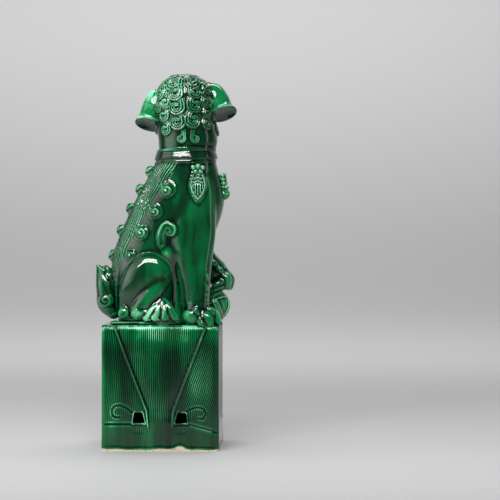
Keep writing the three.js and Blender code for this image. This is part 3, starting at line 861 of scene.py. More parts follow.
@dataclass
class Plinth:
    """The hollow box the animal sits on: combed walls, a draped cloth and pierced windows."""

    radius: float = 3.0
    comb_pitch: float = 1.75
    comb_depth: float = 0.50
    band_top: float = 21.5  # height of the smooth band round the foot
    wall: float = 5.5
    edge: float = 4.0  # radius of the upper edges
    sill: float = 22.8  # of the windows, and their heads, half widths and middles at sill and head
    head: float = 32.6
    window_half: tuple[float, float] = (5.55, 3.7)
    window_middle: tuple[float, float] = (17.65, 18.2)
    far_sill: float = 24.2  # glaze has pooled in the left windows

    def __post_init__(self) -> None:
        """Reads the plinth's outer size from the frame."""
        low, high = SITE.local_box("right_plinth_wall")
        self.half_length = (high[0] - low[0]) / 2
        self.height = high[2]
        self.half_depth = -low[1]
        drape_low, drape_high = SITE.local_box("right_drape")
        self.drape_top = (drape_high[0] - drape_low[0]) / 2
        self.hem = drape_low[2]

    def drawn_in(self, z: Array) -> Array:
        """How far the walls' rounded upper edges draw in at a height."""
        t = np.clip((z - self.height + self.edge) / self.edge, 0, 1)
        return self.edge * (1 - np.sqrt(1 - 0.98 * t * t))

    def drape_half(self, z: Array) -> Array:
        """The draped cloth's half width at a height."""
        return np.interp(z, [self.hem, 33.5, self.height], [10.0, 11.2, self.drape_top])

    def scroll(self, side: int) -> Array:
        """The line of a cloud scroll cut beside a window."""
        left = [
            (-23.2, 32.6), (-27.8, 36.0), (-33.6, 38.2), (-38.4, 37.0), (-40.2, 32.6), (-38.4, 28.8),
            (-33.8, 28.2),
        ]
        right = [
            (20.6, 32.6), (25.2, 35.0), (32.0, 36.4), (37.2, 34.4), (38.0, 30.4), (35.6, 27.2), (32.6, 27.4)
        ]
        return through(left if side < 0 else right, 26)

    def combing(self, x: Array, z: Array) -> Array:
        """Grooves of the comb: upright on the cloth, slanted along its right hem beside it."""
        half = self.drape_half(z)
        inside = np.abs(x) < half
        upright = x * (1 + 0.10 * (z - 30) / 75) / 1.06
        beside = np.where(x > 0, x - half * 0.92, x + 0.10 * (z - 60))
        phase = np.where(inside, upright, beside) / self.comb_pitch
        wander = 0.16 * np.sin(z * 0.21 + x * 0.05) + 0.06 * np.sin(z * 0.53 + x * 0.1)
        ridge = np.abs(np.sin(math.pi * (phase + wander))) ** 0.75
        strength = ease(self.band_top + 1, self.band_top + 9, z)
        strength = strength * (1 - ease(self.height - 2.4, self.height - 0.8, z))
        patch = 0.62 + 0.38 * np.sin(0.11 * x + 0.9) * np.sin(0.07 * z + 0.4)
        quiet = np.where(x < -half, 0.55, 1.0)
        return (ridge - 1) * self.comb_depth * strength * patch * quiet

    def face_relief(self, x: Array, z: Array) -> Array:
        """The rise of the side wall's face at places along and up it."""
        half = self.drape_half(z)
        slope = np.where(z > 33.5, 0.93, 1.0)
        out = (np.abs(x) - half) * slope
        faded = ease(self.hem - 3, self.hem + 6, z)
        sunk = ease(self.hem + 2, self.hem + 24, z)
        ridge = 0.95 * hump(out, 0.95) * faded
        scoop = -0.80 * hump(np.clip(-out, 0, None), 6.0) * (out < 0) * sunk
        beside = -0.30 * hump(np.clip(out, 0, None), 4.0) * (out >= 0) * sunk
        blend = ease(-0.4, 0.4, out)
        rise = ridge + scoop * (1 - blend) + beside * blend
        rise += self.combing(x, z) * (1 - hump(out, 1.5))
        lower = np.where(x > 0, self.band_top + 0.8 - np.clip(x - 24, 0, None) * 0.27, self.band_top + 1.0)
        off_cloth = ease(10.5, 12.5, np.abs(x))
        rise -= 0.55 * hump(z - lower, 0.9) * off_cloth
        for side in (-1, 1):
            line = Lock(self.scroll(side), np.full(26, 1.15), lift=1.0, strands=1, groove=0.0)
            close = np.abs(x - line.path[:, 0].mean()) < 16
            close &= (z > 22) & (z < 44)
            cut = np.zeros_like(x)
            cut[close] = line.height(x[close], z[close])
            rise -= 0.42 * cut
        fringe = hump(np.abs(x) - 18, 5.0, 4) * ease(13.5, 16, z) * (1 - ease(20, 22, z))
        rise -= 0.25 * fringe * (1 - np.abs(np.sin(math.pi * x / 1.7)))
        rise -= 0.75 * self.drawn_in(z) + 1.0 * ease(self.height - 15, self.height, z) ** 2
        roll = hump(z - self.glaze_line(x) - 0.8, 0.8)
        return rise + 0.70 * self.window_rim(x, z) + 0.14 * roll + 0.8 * np.clip(1 - z / 22, 0, 1) ** 2

    def window_rim(self, x: Array, z: Array) -> Array:
        """How near a place is to the sides and sill of a window: 1 on their edge."""
        span = np.interp(z, [self.sill, self.head], self.window_half)
        middle = np.interp(z, [self.sill, self.head], self.window_middle)
        centre, half_high = (self.sill + self.head) / 2, (self.head - self.sill) / 2
        beside = np.clip(np.abs(np.abs(x) - middle) - span, 0, None)
        away = np.hypot(beside, np.clip(np.abs(z - centre) - half_high, 0, None))
        return hump(away, 0.8) * (1 - ease(30.5, 32.5, z))

    def thin(self, points: Array) -> Array:
        """Thin glaze on the rounded top edge, beside the hem and on the windows' edges, and thick on the
        cloth; a paler band under the top edge is painted light from above.
        """
        x, z = points[:, 0], points[:, 2]
        cloth = hump(np.hypot(x / 24, (z - 62) / 27), 1, 4)
        hem = hump(np.hypot((x - 30) / 16, (z - 58) / 20), 1)
        # A paler band under the top edge: painted light from above. The last few millimetres are thin glaze
        # on the rounded edge.
        top = ease(84, 96, z + 3 * np.sin(x * 0.13)) * 0.9
        top = top + 0.5 * ease(self.height - 4, self.height, z)
        return 0.20 * top + 0.14 * hem - 0.13 * cloth + 0.55 * self.window_rim(x, z)

    def glaze_line(self, x: Array) -> Array:
        """The height at which the glaze ends above the unglazed foot."""
        wave = 0.35 * np.sin(x * 0.11 + 0.7) + 0.2 * np.sin(x * 0.37 + 2)
        return 1.7 + wave + 2.3 * hump(x - 17, 4.5)

    def bare(self, points: Array) -> Array:
        """Where the clay shows: under the glaze's line and on the foot."""
        along = np.where(np.abs(points[:, 1]) > np.abs(points[:, 0]) * 0.7, points[:, 0], points[:, 1] + 31)
        return 1 - ease(-0.25, 0.25, points[:, 2] - self.glaze_line(along))

    def side_wall(self, side: int) -> Piece:
        """The long wall on one side, -1 right or +1 left, with both rounded corners."""
        outer, inner = 420, 14
        flat, arc = self.half_length - self.radius, self.radius * math.pi / 2
        reach = flat + arc + self.wall - self.radius

        def shape(u: Array, v: Array) -> Array:
            """Wraps the sheet round the wall: its face, its corners, its ends and its back."""
            k = u * (outer + inner)
            s = (np.clip(k, 0, outer) / outer * 2 - 1) * reach
            turn = np.clip(np.abs(s) - flat, 0, arc) / self.radius
            past = np.clip(np.abs(s) - flat - arc, 0, None)
            x = np.sign(s) * (np.minimum(np.abs(s), flat) + self.radius * np.sin(turn))
            y = -self.half_depth + self.radius * (1 - np.cos(turn)) + past
            back = np.clip(k - outer, 0, inner) / inner
            x = np.where(k > outer, self.half_length * (1 - 2 * back), x)
            y = np.where(k > outer, -self.half_depth + self.wall, y)
            z = self.height * v
            over = self.drawn_in(z) * ease(self.half_length - 9, self.half_length, np.abs(x))
            return np.stack([x - np.sign(x) * over, y, z], axis=-1)

        def relief(place: Array, way: Array, u: Array, v: Array) -> Array:
            """Carves the outer face only."""
            face = (u if side < 0 else 1 - u) * (outer + inner) <= outer
            rise = self.face_relief(place[..., 0], place[..., 2])
            edge = 1 - ease(self.half_length - 7, self.half_length - 1.5, np.abs(place[..., 0]))
            keep = 0.25 + 0.75 * edge
            return np.where(face, rise * keep, 0.0)

        name = "right_plinth_wall" if side < 0 else "left_plinth_wall"
        mesh = Slab(outer + inner, 210).bend(name, shape if side < 0 else mirrored(shape), relief)
        nodes = (name, "right_drape" if side < 0 else "left_drape")
        walled = self.pierce(mesh, side)
        return Piece(name, walled, nodes, bare=self.bare, seat=False, runs=0.03, thin=self.thin)

    def pierce(self, mesh: bpy.types.Mesh, side: int) -> bpy.types.Mesh:
        """Cuts the two windows through a side wall."""
        cutter = bmesh.new()
        for way in (-1, 1):
            made = bmesh.ops.create_cube(cutter, size=1.0)["verts"]
            for vert in made:
                top = vert.co.z > 0
                middle, span = self.window_middle[top], self.window_half[top]
                x = middle - span if vert.co.x < 0 else middle + span
                sill = self.sill if side < 0 else self.far_sill
                vert.co = (way * x, side * self.half_depth + vert.co.y * 16, self.head if top else sill)
        bmesh.ops.recalc_face_normals(cutter, faces=cutter.faces)
        upright = [e for e in cutter.edges if abs(e.verts[0].co.y - e.verts[1].co.y) > 5]
        bmesh.ops.bevel(
            cutter, geom=upright, offset=0.9, segments=3, affect="EDGES", profile=0.5, material=-1
        )
        form = bpy.data.meshes.new("windows")
        cutter.to_mesh(form)
        cutter.free()
        return carved(mesh, (form,))

    def end_wall(self, side: int) -> Piece:
        """The short wall at one end, -1 rear or +1 front, combed like the sides."""
        half = self.half_depth - self.wall
        outer, inner = 150, 10

        def shape(u: Array, v: Array) -> Array:
            """Wraps the sheet round the wall's face and back."""
            k = u * (outer + inner)
            s = np.clip(np.clip(k - 1, 0, outer - 2) / (outer - 2) * 2 - 1, -1, 1) * half
            back = np.clip(k - outer, 0, inner) / inner
            y = np.where(k > outer, half * (1 - 2 * back), s)
            x = np.where((k >= outer) | (k <= 0), self.half_length - self.wall, self.half_length)
            return np.stack([x, y, self.height * v], axis=-1)

        def relief(place: Array, way: Array, u: Array, v: Array) -> Array:
            """Combs the outer face, with a band at the foot."""
            y, z = place[..., 1], place[..., 2]
            face = place[..., 0] > self.half_length - 0.1
            strength = ease(self.band_top + 1, self.band_top + 7, z)
            strength = strength * (1 - ease(self.height - 3.2, self.height - 1.2, z))
            ridge = np.abs(np.sin(math.pi * (y / self.comb_pitch + 0.15 * np.sin(z * 0.2)))) ** 0.75 - 1
            rise = ridge * self.comb_depth * 0.4 * strength * ease(0, 4, half - np.abs(y))
            rise = rise - 0.5 * hump(z - self.band_top - 0.6, 0.9)
            return np.where(face, rise - self.drawn_in(z), 0.0)

        def turned(u: Array, v: Array) -> Array:
            """The same wall at the rear."""
            return shape(u, v) * np.array([-1.0, -1.0, 1.0])

        name = "front_plinth_wall" if side > 0 else "rear_plinth_wall"
        mesh = Slab(outer + inner, 110).bend(name, shape if side > 0 else turned, relief)
        return Piece(name, mesh, (name,), bare=self.bare, seat=False, runs=0.05)

    def top_slab(self) -> Piece:
        """The top, whose glaze runs out over the walls' upper edges."""
        low, high = SITE.local_box("plinth_top")
        x, y = self.half_length - 3.4, self.half_depth - 3.4

        def shape(u: Array, v: Array) -> Array:
            """A rounded slab with a slightly crowned top."""
            turn = u * 2 * math.pi
            corner = (np.abs(np.cos(turn)) ** 24 + np.abs(np.sin(turn)) ** 24) ** (-1 / 24)
            ring = np.interp(v, [0, 0.02, 0.3, 0.34, 1.0], [0, 1, 1, 0.999, 0]) * corner
            z = np.interp(
                v,
                [0, 0.02, 0.3, 0.34, 0.5, 1.0],
                [low[2], low[2], high[2] - 0.3, high[2] + 0.1, high[2] + 0.2, high[2] + 0.25],
            )
            shrink = np.where(z < high[2] - 0.29, 0.86, 1.0)
            return np.stack([x * ring * np.cos(turn) * shrink, y * ring * np.sin(turn) * shrink, z], axis=-1)

        mesh = Slab(96, 40).bend("plinth_top", shape)
        return Piece("plinth_top", mesh, ("plinth_top",), seat=False)

    def ground_pad(self) -> Piece:
        """The thin slab of ground under the animal, with a soft rim."""
        low, high = SITE.local_box("ground_pad")
        centre, half = (low + high) / 2, (high - low) / 2

        def shape(u: Array, v: Array) -> Array:
            """A pillow-edged slab."""
            turn, tilt = ball_angles(u, v)
            corner = (np.abs(np.cos(turn)) ** 12 + np.abs(np.sin(turn)) ** 12) ** (-1 / 12)
            ring = np.sign(np.cos(tilt)) * np.abs(np.cos(tilt)) ** 0.16 * corner
            z = np.sign(np.sin(tilt)) * np.abs(np.sin(tilt)) ** 0.5
            wave = 1 + 0.012 * np.sin(5 * turn + 1) + 0.008 * np.sin(11 * turn)
            x, y = half[0] * ring * np.cos(turn) * wave, half[1] * ring * np.sin(turn) * wave
            return centre + np.stack([x, y, half[2] * z], axis=-1)

        return Piece("ground_pad", Slab(160, 40).bend("ground_pad", shape), ("ground_pad",))

    def pieces(self) -> list[Piece]:
        """Every piece of the plinth."""
        return [
            self.side_wall(-1),
            self.side_wall(1),
            self.end_wall(1),
            self.end_wall(-1),
            self.top_slab(),
            self.ground_pad(),
        ]


# ---- Body -------------------------------------------------------------------------------------

# Rows of height, x, y, half width along X and half width along Y.
TORSO = [
    (108.6, -15.0, 0.0, 24.0, 23.5), (116.0, -14.6, 0.0, 25.6, 24.8), (125.0, -14.0, 0.0, 26.8, 25.8),
    (146.0, -11.5, 0.0, 31.6, 26.4), (160.0, -7.0, 0.0, 36.6, 26.6), (177.0, 1.5, 0.0, 39.6, 26.9),
    (194.0, 8.9, 0.0, 39.9, 27.2), (211.0, 14.5, 0.0, 37.6, 27.2), (228.6, 17.8, 0.0, 31.2, 25.2),
    (241.5, 19.5, 0.0, 26.2, 23.4), (248.0, 19.8, 0.0, 23.8, 22.0),
]


@dataclass
class Body:
    """Torso and forelegs, modelled as one mass, with the mane's strands down the spine."""

    strands: float = 2.3  # millimetres from one strand to the next
    depth: float = 1.05
    grain: float = 0.76

    def mane(self, place: Array) -> tuple[Array, Array, Array]:
        """Where the mane lies.

        Args:
            place: Points on the body.

        Returns:
            How much of the mane there is, and the degrees and millimetres round from the spine.
        """
        z = place[..., 2]
        rows = np.asarray(TORSO)
        xc, rx, ry = (np.interp(z, rows[:, 0], rows[:, k]) for k in (1, 3, 4))
        off = np.degrees(np.abs(np.arctan2(place[..., 1] / ry, -(place[..., 0] - xc) / rx)))
        edge = smooth_curve(z, [112, 130, 150, 164, 184, 203, 222, 240], [16, 26, 38, 45, 51, 55, 62, 84])
        for height in (219.0, 201.0, 181.0, 160.0):
            edge = edge + 5.0 * hump(z - height - 3, 5.0)
        mask = (1 - ease(0.84, 1.0, off / edge)) * ease(112, 122, z) * (1 - ease(243, 246, z))
        mask = mask * (place[..., 0] < xc + 2)
        return mask, off, off * math.radians(1) * (rx + ry) / 2

    def flow(self, place: Array, way: Array, u: Array, v: Array) -> Array:
        """Strands that run from the collar down either side of the spine, over hand-worked clay."""
        x, z = place[..., 0], place[..., 2]
        mask, off, across = self.mane(place)
        wave = 0.62 * np.sin(z * 0.11 + across * 0.10) + 0.26 * np.sin(z * 0.27 + across * 0.2 + 2.0)
        split = 1 + 0.22 * np.sin(across * 0.45 + z * 0.035)
        comb = np.abs(np.sin(math.pi * (across / self.strands + wave - 0.045 * (240 - z)))) ** 0.7 * split
        spine = hump(off, 7.0)
        hand = 0.10 * (np.sin(0.20 * x + 0.11 * z) + np.sin(0.21 * z - 0.14 * x + 1.3)) * ease(150, 175, z)
        hand = hand * (1 - mask) * (1 - ease(236, 244, z))
        return hand + mask * (0.55 + (comb - 1) * self.depth * (1 - spine)) + 0.8 * spine * ease(112, 122, z)

    def thin(self, points: Array) -> Array:
        """Thin glaze over the mane, thick over the raised paw."""
        paw = (points[:, 0] > 42) & (points[:, 2] < 152) & (points[:, 1] > 2)
        return 0.17 * self.mane(points)[0] - 0.10 * paw

    def right_leg(self, clay: Clay) -> None:
        """The straight near leg, from the shoulder to the paw on the plinth's edge."""
        sections = [
            (106.2, 29.6, -22.6, 11.0, 9.4), (112.0, 29.4, -22.4, 10.8, 9.4), (123.0, 29.3, -21.8, 11.3, 9.8),
            (138.0, 28.6, -21.0, 12.9, 10.8), (155.0, 26.9, -20.0, 16.0, 12.0),
            (171.0, 24.6, -18.6, 20.2, 13.0), (185.0, 24.2, -16.8, 22.0, 13.8),
            (205.0, 26.2, -14.6, 19.6, 13.8), (224.0, 28.0, -12.6, 16.4, 12.6),
            (240.0, 27.0, -11.0, 12.0, 11.0),
        ]

        def tendon(place: Array, way: Array, u: Array, v: Array) -> Array:
            """Long soft hollows between the leg's tendons, and a fringe down its front."""
            z, turn = place[..., 2], u * 2 * math.pi
            low = 1 - ease(150, 178, z)
            groove = 0.5 * low * np.cos(3 * turn + 0.9)
            front = hump(u - 0.40, 0.03) * ease(118, 126, z) * (1 - ease(146, 156, z))
            return groove + front * 0.9 * np.abs(np.sin(z * 0.55 + 1.5 * np.sin(z * 0.2) + 10 * u))

        clay.add(loft(sections, (4.0, 10.0)), Slab(120, 150), tendon)
        clay.dab((28.0, -25.4, 112.6), (10.0, 8.4, 8.4), (44, 32))
        clay.dab((37.0, -22.8, 113.2), (10.5, 9.0, 8.0), (44, 32))
        toes = (  # place, radius and lean to the side
            (33.4, -29.4, 109.2, 4.7, -0.9), (40.6, -29.6, 109.6, 5.0, -0.35), (46.4, -24.4, 110.6, 4.7, 0.5),
            (46.6, -17.0, 110.8, 4.4, 1.0),
        )
        for x, y, z, r, way in toes:
            tip = (x + 1.6, y - 1.6 + way, z - 3.2)
            clay.roll(
                [(x - 6.5, y + 5.2, z + 5.2), (x - 2.2, y + 1.5, z + 3.0), tip],
                [r * 0.8, r, r * 0.62],
                (30, 30),
            )
            clay.roll([tip, (x + 3.6, y - 3.2 + way, z - 5.0)], [1.9, 1.0], (14, 12))
        clay.roll(
            [(31.5, -31.2, 121.4), (29.8, -32.4, 117.6), (32.4, -33.0, 114.8)], [0.9, 1.7, 1.1], (18, 20)
        )

    def left_leg(self, clay: Clay) -> None:
        """The far leg, raised so that its paw rests on the ball."""
        top = SITE.local_box("ball")[1][2]
        clay.roll(
            [(20, 12, 205), (23, 16.0, 187), (26, 17.5, 171), (34, 19.0, 157.5), (43.5, 19.6, top + 15)],
            [12, 15.0, 13.5, 12.0, 11.5],
            (90, 110),
        )
        clay.dab((48.8, 19.6, top + 9.2), (11.0, 11.8, 9.8), (44, 32))
        for k, r in enumerate((4.4, 5.1, 5.1, 4.4)):
            y = 11.4 + 5.5 * k
            out = 55.4 - 0.6 * (k - 1.5) ** 2
            clay.roll(
                [(out - 6, y * 0.8 + 4, top + 13), (out, y, top + 9.6), (out + 0.2, y, top + 3.4)],
                [r, r, r * 0.8],
                (28, 28),
            )
        for k in range(3):
            root = np.array([34.0 + 4.9 * k, 9.8, 163.5 - 5.6 * k])
            clay.roll([root, root + (3.8, -0.9, -1.4), root + (6.6, 0.8, -4.8)], [2.2, 2.9, 1.5], (20, 26))
        for k in range(3):
            root = np.array([50.5 - 0.8 * k, 8.8, top + 7.5 - 4.4 * k])
            clay.roll(
                [root, root + (-6.0, -1.6, -2.6), root + (-11.0, -1.0, -7.0)], [2.0, 2.2, 1.2], (18, 26)
            )

    def piece(self) -> Piece:
        """Torso and forelegs in one skin, softened where they meet, then carved."""
        clay = Clay("body")
        clay.add(loft(TORSO), Slab(200, 160))
        clay.roll(
            [(6, 1, 165), (9, 1, 140), (10.5, 1, 122), (11, 1, 108.6)], [20, 12.5, 9.5, 9.5], (60, 60), 1.5
        )
        self.right_leg(clay)
        self.left_leg(clay)
        mesh = clay.fused(self.grain, 2)

        def melted(points: Array) -> Array:
            """How far the seams are worked away: most above the leg, and not on the raised leg."""
            x, y, z = points.T
            share = ease(140, 166, z) * (y < 12) + 0.25 * (z > 124)
            return np.clip(np.where((x > 31) & (y > 3) & (z < 172), 0.0, share), 0, 1)

        softened(mesh, 60, melted)
        nodes = ("torso", "right_foreleg", "left_foreleg")
        return Piece("body", raised(mesh, self.flow), nodes, runs=-0.05, thin=self.thin)


@dataclass
class Legs:
    """Both hind legs."""

    def hind_leg(self, side: int) -> Piece:
        """A thigh that bulges from rump to knee, shin, heel and spread toes; -1 is the right leg."""
        word = "right" if side < 0 else "left"
        floor = SITE.local_box("ground_pad")[1][2]
        thigh = [(-23.5, -17.5, 122), (-20.5, -20.0, 134), (-14.0, -21.2, 145), (-8.6, -21.4, 150.2)]
        clay = Clay(f"{word}_hind_leg", flip=side > 0)
        clay.roll(thigh, [13.2, 15.8, 17.6, 17.2], (130, 110), 0.60)
        shin = [(-1.0, -23.4, 144), (-5.6, -26.2, 134), (-13.0, -27.4, 124), (-19.0, -27.0, 117.0)]
        clay.roll(shin, [8.0, 8.2, 7.6, 6.6], (70, 80), 0.72)
        clay.roll([(-19, -26.4, 115.6), (-10, -26.8, 114.2), (4, -26.6, 113.6)], [6.6, 5.8, 5.4], (50, 50))
        instep = [(2.0, -25.6, 127), (2.6, -26.0, 119), (2.4, -26.2, 111.5)]
        clay.roll(instep, [3.0, 6.0, 9.6], (40, 40), 0.62)
        for x, y, r in ((-12.0, -31.0, 2.9), (-4.4, -32.0, 3.5), (4.2, -31.8, 3.6), (12.0, -30.0, 3.4)):
            crown = (1.4 + 0.22 * x, -28.0, floor + 18.5 - 0.10 * abs(x))
            knee = (1.0 + 0.58 * x, -30.6, floor + 10.2)
            clay.roll([crown, knee, (x, y, floor + r)], [2.2, 3.3, r], (24, 36))
            clay.roll([(x, y, floor + r), (x + 3.0, y - 0.8, floor + 1.6)], [2.0, 1.0], (14, 12))
        seat = Seat.facing((-32.0, -24.6, floor + 7.0), (-0.2, -1.0, 0.05))
        clay.add(scroll(seat, 1, 5.0), Slab(56, 40))
        mesh = clay.fused(0.6, 2)

        def above_paw(at: Array) -> Array:
            """How far the seams are worked away: only above the paw."""
            return ease(floor + 12, floor + 20, at[:, 2] - 0.35 * np.clip(at[:, 0], -30, 10))

        softened(mesh, 40, above_paw)
        nodes = (f"{word}_haunch", f"{word}_hind_paw")
        # The leg's glaze is painted darker, as painted shade over the thigh and shin; the thin term lifts the
        # toes back near the rest.
        return Piece(clay.name, mesh, nodes, runs=-0.10, thin=lambda at: 0.12 * (at[:, 2] < floor + 13))

    def pieces(self) -> list[Piece]:
        """Both hind legs."""
        return [self.hind_leg(-1), self.hind_leg(1)]


@dataclass
class Tail:
    """The tail: a flame that stands up behind the rump, with a scroll on each face."""

    def piece(self) -> Piece:
        """The tail."""
        clay = Clay("tail")

        def strands(place: Array, way: Array, u: Array, v: Array) -> Array:
            """Flutes that run up the flame."""
            flutes = np.abs(np.cos(4 * 2 * math.pi * u / 2 + 0.8 * place[..., 2] * 0.1))
            return 0.5 * flutes * ease(0.05, 0.2, v) - 0.2

        flame = limb(
            [
                (-43.5, 0, 114), (-48, 0, 121), (-49.6, 0, 133), (-51.2, 0, 143), (-54.2, 0, 150),
                (-57.4, 0, 155),
            ],
            [5.6, 8.4, 8.6, 7.4, 4.4, 0.8],
            1.35,
        )
        clay.add(flame, Slab(90, 120), strands)
        clay.roll(
            [(-45, 0, 126), (-45.6, 0, 140), (-48.0, 0, 149), (-50.0, 0, 153.4)],
            [5.4, 6.2, 5.0, 2.2],
            (50, 50),
            1.5,
        )
        for side in (-1, 1):
            seat = Seat.facing((-48.8, side * 9.4, 125.0), (0.0, side, 0.0))
            clay.add(scroll(seat, -side, 6.6), Slab(64, 40))
        return Piece("tail", clay.fused(0.55, 1), ("tail",))


# ---- Head -------------------------------------------------------------------------------------

# Rows like the torso's.
HEAD = [
    (246.6, 19.8, 0.0, 23.4, 22.0), (253.0, 20.2, 0.0, 24.2, 23.0), (262.0, 20.9, 0.0, 25.4, 24.2),
    (272.0, 19.6, 0.0, 25.4, 24.6), (284.0, 18.4, 0.0, 24.0, 24.2), (295.5, 18.0, 0.0, 23.8, 24.2),
    (304.0, 17.8, 0.0, 22.2, 22.8), (311.0, 17.7, 0.0, 18.8, 19.4), (315.6, 17.6, 0.0, 14.0, 14.8),
    (318.2, 17.6, 0.0, 8.6, 9.2), (319.2, 17.6, 0.0, 0.2, 0.2),
]
SKULL = np.array([16.4, 0.0, 295.5])


@dataclass
class Head:
    """The head, turned to the animal's left, with its curled mane and open mouth."""

    grain: float = 0.5

    # Rolled locks seen from behind: right of and above the skull's middle, radius, hand, tail, lift.
    back_locks = (
        (-12.4, -25.3, 4.7, -1, 6.0, 1.5), (21.8, -20.2, 4.6, 1, 6.0, 1.5), (-2.8, -19.9, 6.1, -1, 9.0, 1.7),
        (10.3, -18.2, 6.2, 1, 9.0, 1.7), (-13.9, -13.9, 4.8, -1, 6.5, 1.7), (21.6, -11.2, 4.6, 1, 6.5, 1.7),
        (-18.8, -6.5, 4.2, -1, 6.0, 1.7), (-3.6, -7.4, 6.2, -1, 9.0, 1.9), (11.1, -5.4, 6.1, 1, 9.0, 1.9),
        (-12.6, -2.7, 4.9, -1, 7.0, 2.0), (20.2, -1.6, 4.9, 1, 7.0, 2.0), (-5.0, 4.4, 5.9, -1, 9.0, 2.1),
        (11.5, 6.2, 5.8, 1, 9.0, 2.1), (-17.3, 5.8, 5.2, -1, 7.0, 2.0), (21.0, 9.0, 5.0, 1, 7.0, 2.0),
        (-5.5, 13.4, 6.8, -1, 7.0, 1.2), (8.9, 14.6, 6.6, 1, 7.0, 1.2),
    )

    def seat_on(self, mesh_points: Array, mesh_normals: Array, direction: Array) -> Seat:
        """Finds the seat on the skull that lies in a direction from its middle."""
        ray = unit(mesh_points - SKULL)
        best = np.argmax(ray @ unit(direction))
        return Seat.facing(mesh_points[best], mesh_normals[best])

    def carve(self) -> Relief:
        """The rolled locks over the back, sides and crown, and two locks down the nape."""
        shape = loft(HEAD)
        u, v = np.meshgrid(np.linspace(0, 1, 121), np.linspace(0, 1, 121))
        points = shape(u, v)
        normals = grid_normals(points).reshape(-1, 3)
        points = points.reshape(-1, 3)
        behind = normals[:, 1] < -0.05
        carving = Carving()

        def seat_at(dx: float, dz: float) -> Seat:
            """The seat on the head's back nearest a place seen from behind."""
            away = np.hypot(points[:, 0] - SKULL[0] - dx, points[:, 2] - SKULL[2] - dz) + 99 * ~behind
            best = np.argmin(away)
            return Seat.facing(points[best], normals[best])

        for hand, x in ((-1, 0.6), (1, 12.9)):
            roll = Lock.snail(4.6, hand, 12.0, 0.72, lift=1.3, strands=3, groove=0.55)
            carving.add(roll, seat_at(x, -33.2))
        for dx, dz, radius, hand, tail, lift in self.back_locks:
            lock = Lock.snail(radius * 1.22, hand, tail, 0.80, lift=lift + 0.7, strands=3, groove=0.95)
            carving.add(lock, seat_at(dx, dz))
        for hand in (-1, 1):
            for up, turn, radius in (
                (14, 18, 5.4), (2, 4, 5.0), (-10, -2, 5.0), (-22, 6, 4.8), (20, 52, 5.6), (24, 80, 5.0)
            ):
                angle = math.radians(turn)
                way = np.array([hand * math.cos(angle) * 24 + 2, math.sin(angle) * 24, up])
                seat = self.seat_on(points, normals, way)
                lock = Lock.snail(radius * 1.3, hand, radius * 1.6, 0.80, lift=2.3, strands=3, groove=0.9)
                carving.add(lock, seat)

        def relief(place: Array, way: Array, u: Array, v: Array) -> Array:
            """The rise of every lock, over a ground of combed hair."""
            off = place - SKULL
            lane = off[..., 0] - 3.0
            bent = lane + 0.35 * np.abs(lane) ** 0.5 * off[..., 2] / 5
            comb = np.abs(np.sin(math.pi * bent / 1.7)) ** 0.8
            hair = ease(-30, -24, off[..., 2] - 0.02 * lane**2) * ((way[..., 1] < 0.1) | (off[..., 2] > 14))
            return np.maximum(carving.relief(place, way), hair * 0.30 * comb)

        return relief

    def head(self) -> Piece:
        """Skull, neck, cheeks and muzzle, with the mouth cut open."""
        clay = Clay("head")
        clay.add(loft(HEAD), Slab(160, 130))
        x, z = SKULL[0] + 2, SKULL[2]
        clay.dab((x, 20, z - 7), (17, 18, 11), (60, 40))
        clay.roll(
            [(x - 15, 27, z - 10), (x, 36, z - 7.5), (x + 15, 27, z - 10)],
            [4.6, 6.4, 4.6],
            (40, 60),
            1.0,
            (0, 0.4, 1),
        )
        clay.roll(
            [(x, 20, z + 9), (x, 30, z + 2), (x, 35.5, z - 1)], [7.5, 6.5, 5.2], (40, 50), 1.2, (1, 0, 0)
        )
        for side in (-1, 1):
            clay.dab((x + side * 15.5, 20, z - 9), (7.6, 8.5, 8.6), (40, 28))
            clay.roll(
                [(x + side * 3.5, 27.5, z + 5), (x + side * 10, 27.0, z + 0.4), (x + side * 17, 21, z + 3)],
                [1.6, 2.0, 1.5],
                (20, 40),
            )
            for k, (a, b) in enumerate(((19.5, -15.5), (17.0, -22.5), (11.5, -29.0))):
                seat = Seat.facing((x + side * a, 17.5 + 1.2 * k, z + b), (side * 0.75, 0.6, -0.1))
                clay.add(whisker(seat, side), Slab(44, 30))
        mouth = Clay("mouth").dab((x, 36, z - 18.5), (13.0, 16.5, 6.4), (40, 28)).lump()
        skin = raised(clay.fused(self.grain, 2, (mouth,)), self.carve())
        # The thin term darkens the glaze towards the crown: painted shade on the top of the head.
        return Piece("head", skin, ("head",), runs=0.06, thin=lambda at: -0.07 * ease(292, 310, at[:, 2]))

    def ear(self, side: int) -> Piece:
        """A drooping ear whose lower end flares into a rim; +1 is the animal's right ear."""
        name = "right_ear" if side > 0 else "left_ear"
        if side > 0:
            spine = [
                (33.5, 4.0, 309.0), (41.0, 3.0, 305.0), (46.8, 1.0, 297.0), (49.0, 0.0, 290.0),
                (50.8, -0.6, 284.6),
            ]
            mouth, sizes = unit(np.array([0.30, -0.34, -1.0])), [3.4, 8.0, 9.4, 10.4, 12.4]
        else:
            spine = [
                (2.0, 4.0, 304.0), (-5.6, 3.0, 300.0), (-9.6, 1.0, 291.0), (-11.4, 0.0, 282.0),
                (-12.6, -0.6, 275.8),
            ]
            mouth, sizes = unit(np.array([-0.20, -0.34, -1.0])), [3.4, 7.6, 9.0, 10.2, 12.2]
        path = np.asarray(spine, float)
        step = path_lengths(path)
        rim, dished = 0.74, 0.26  # the shares of the sheet outside and inside the rim

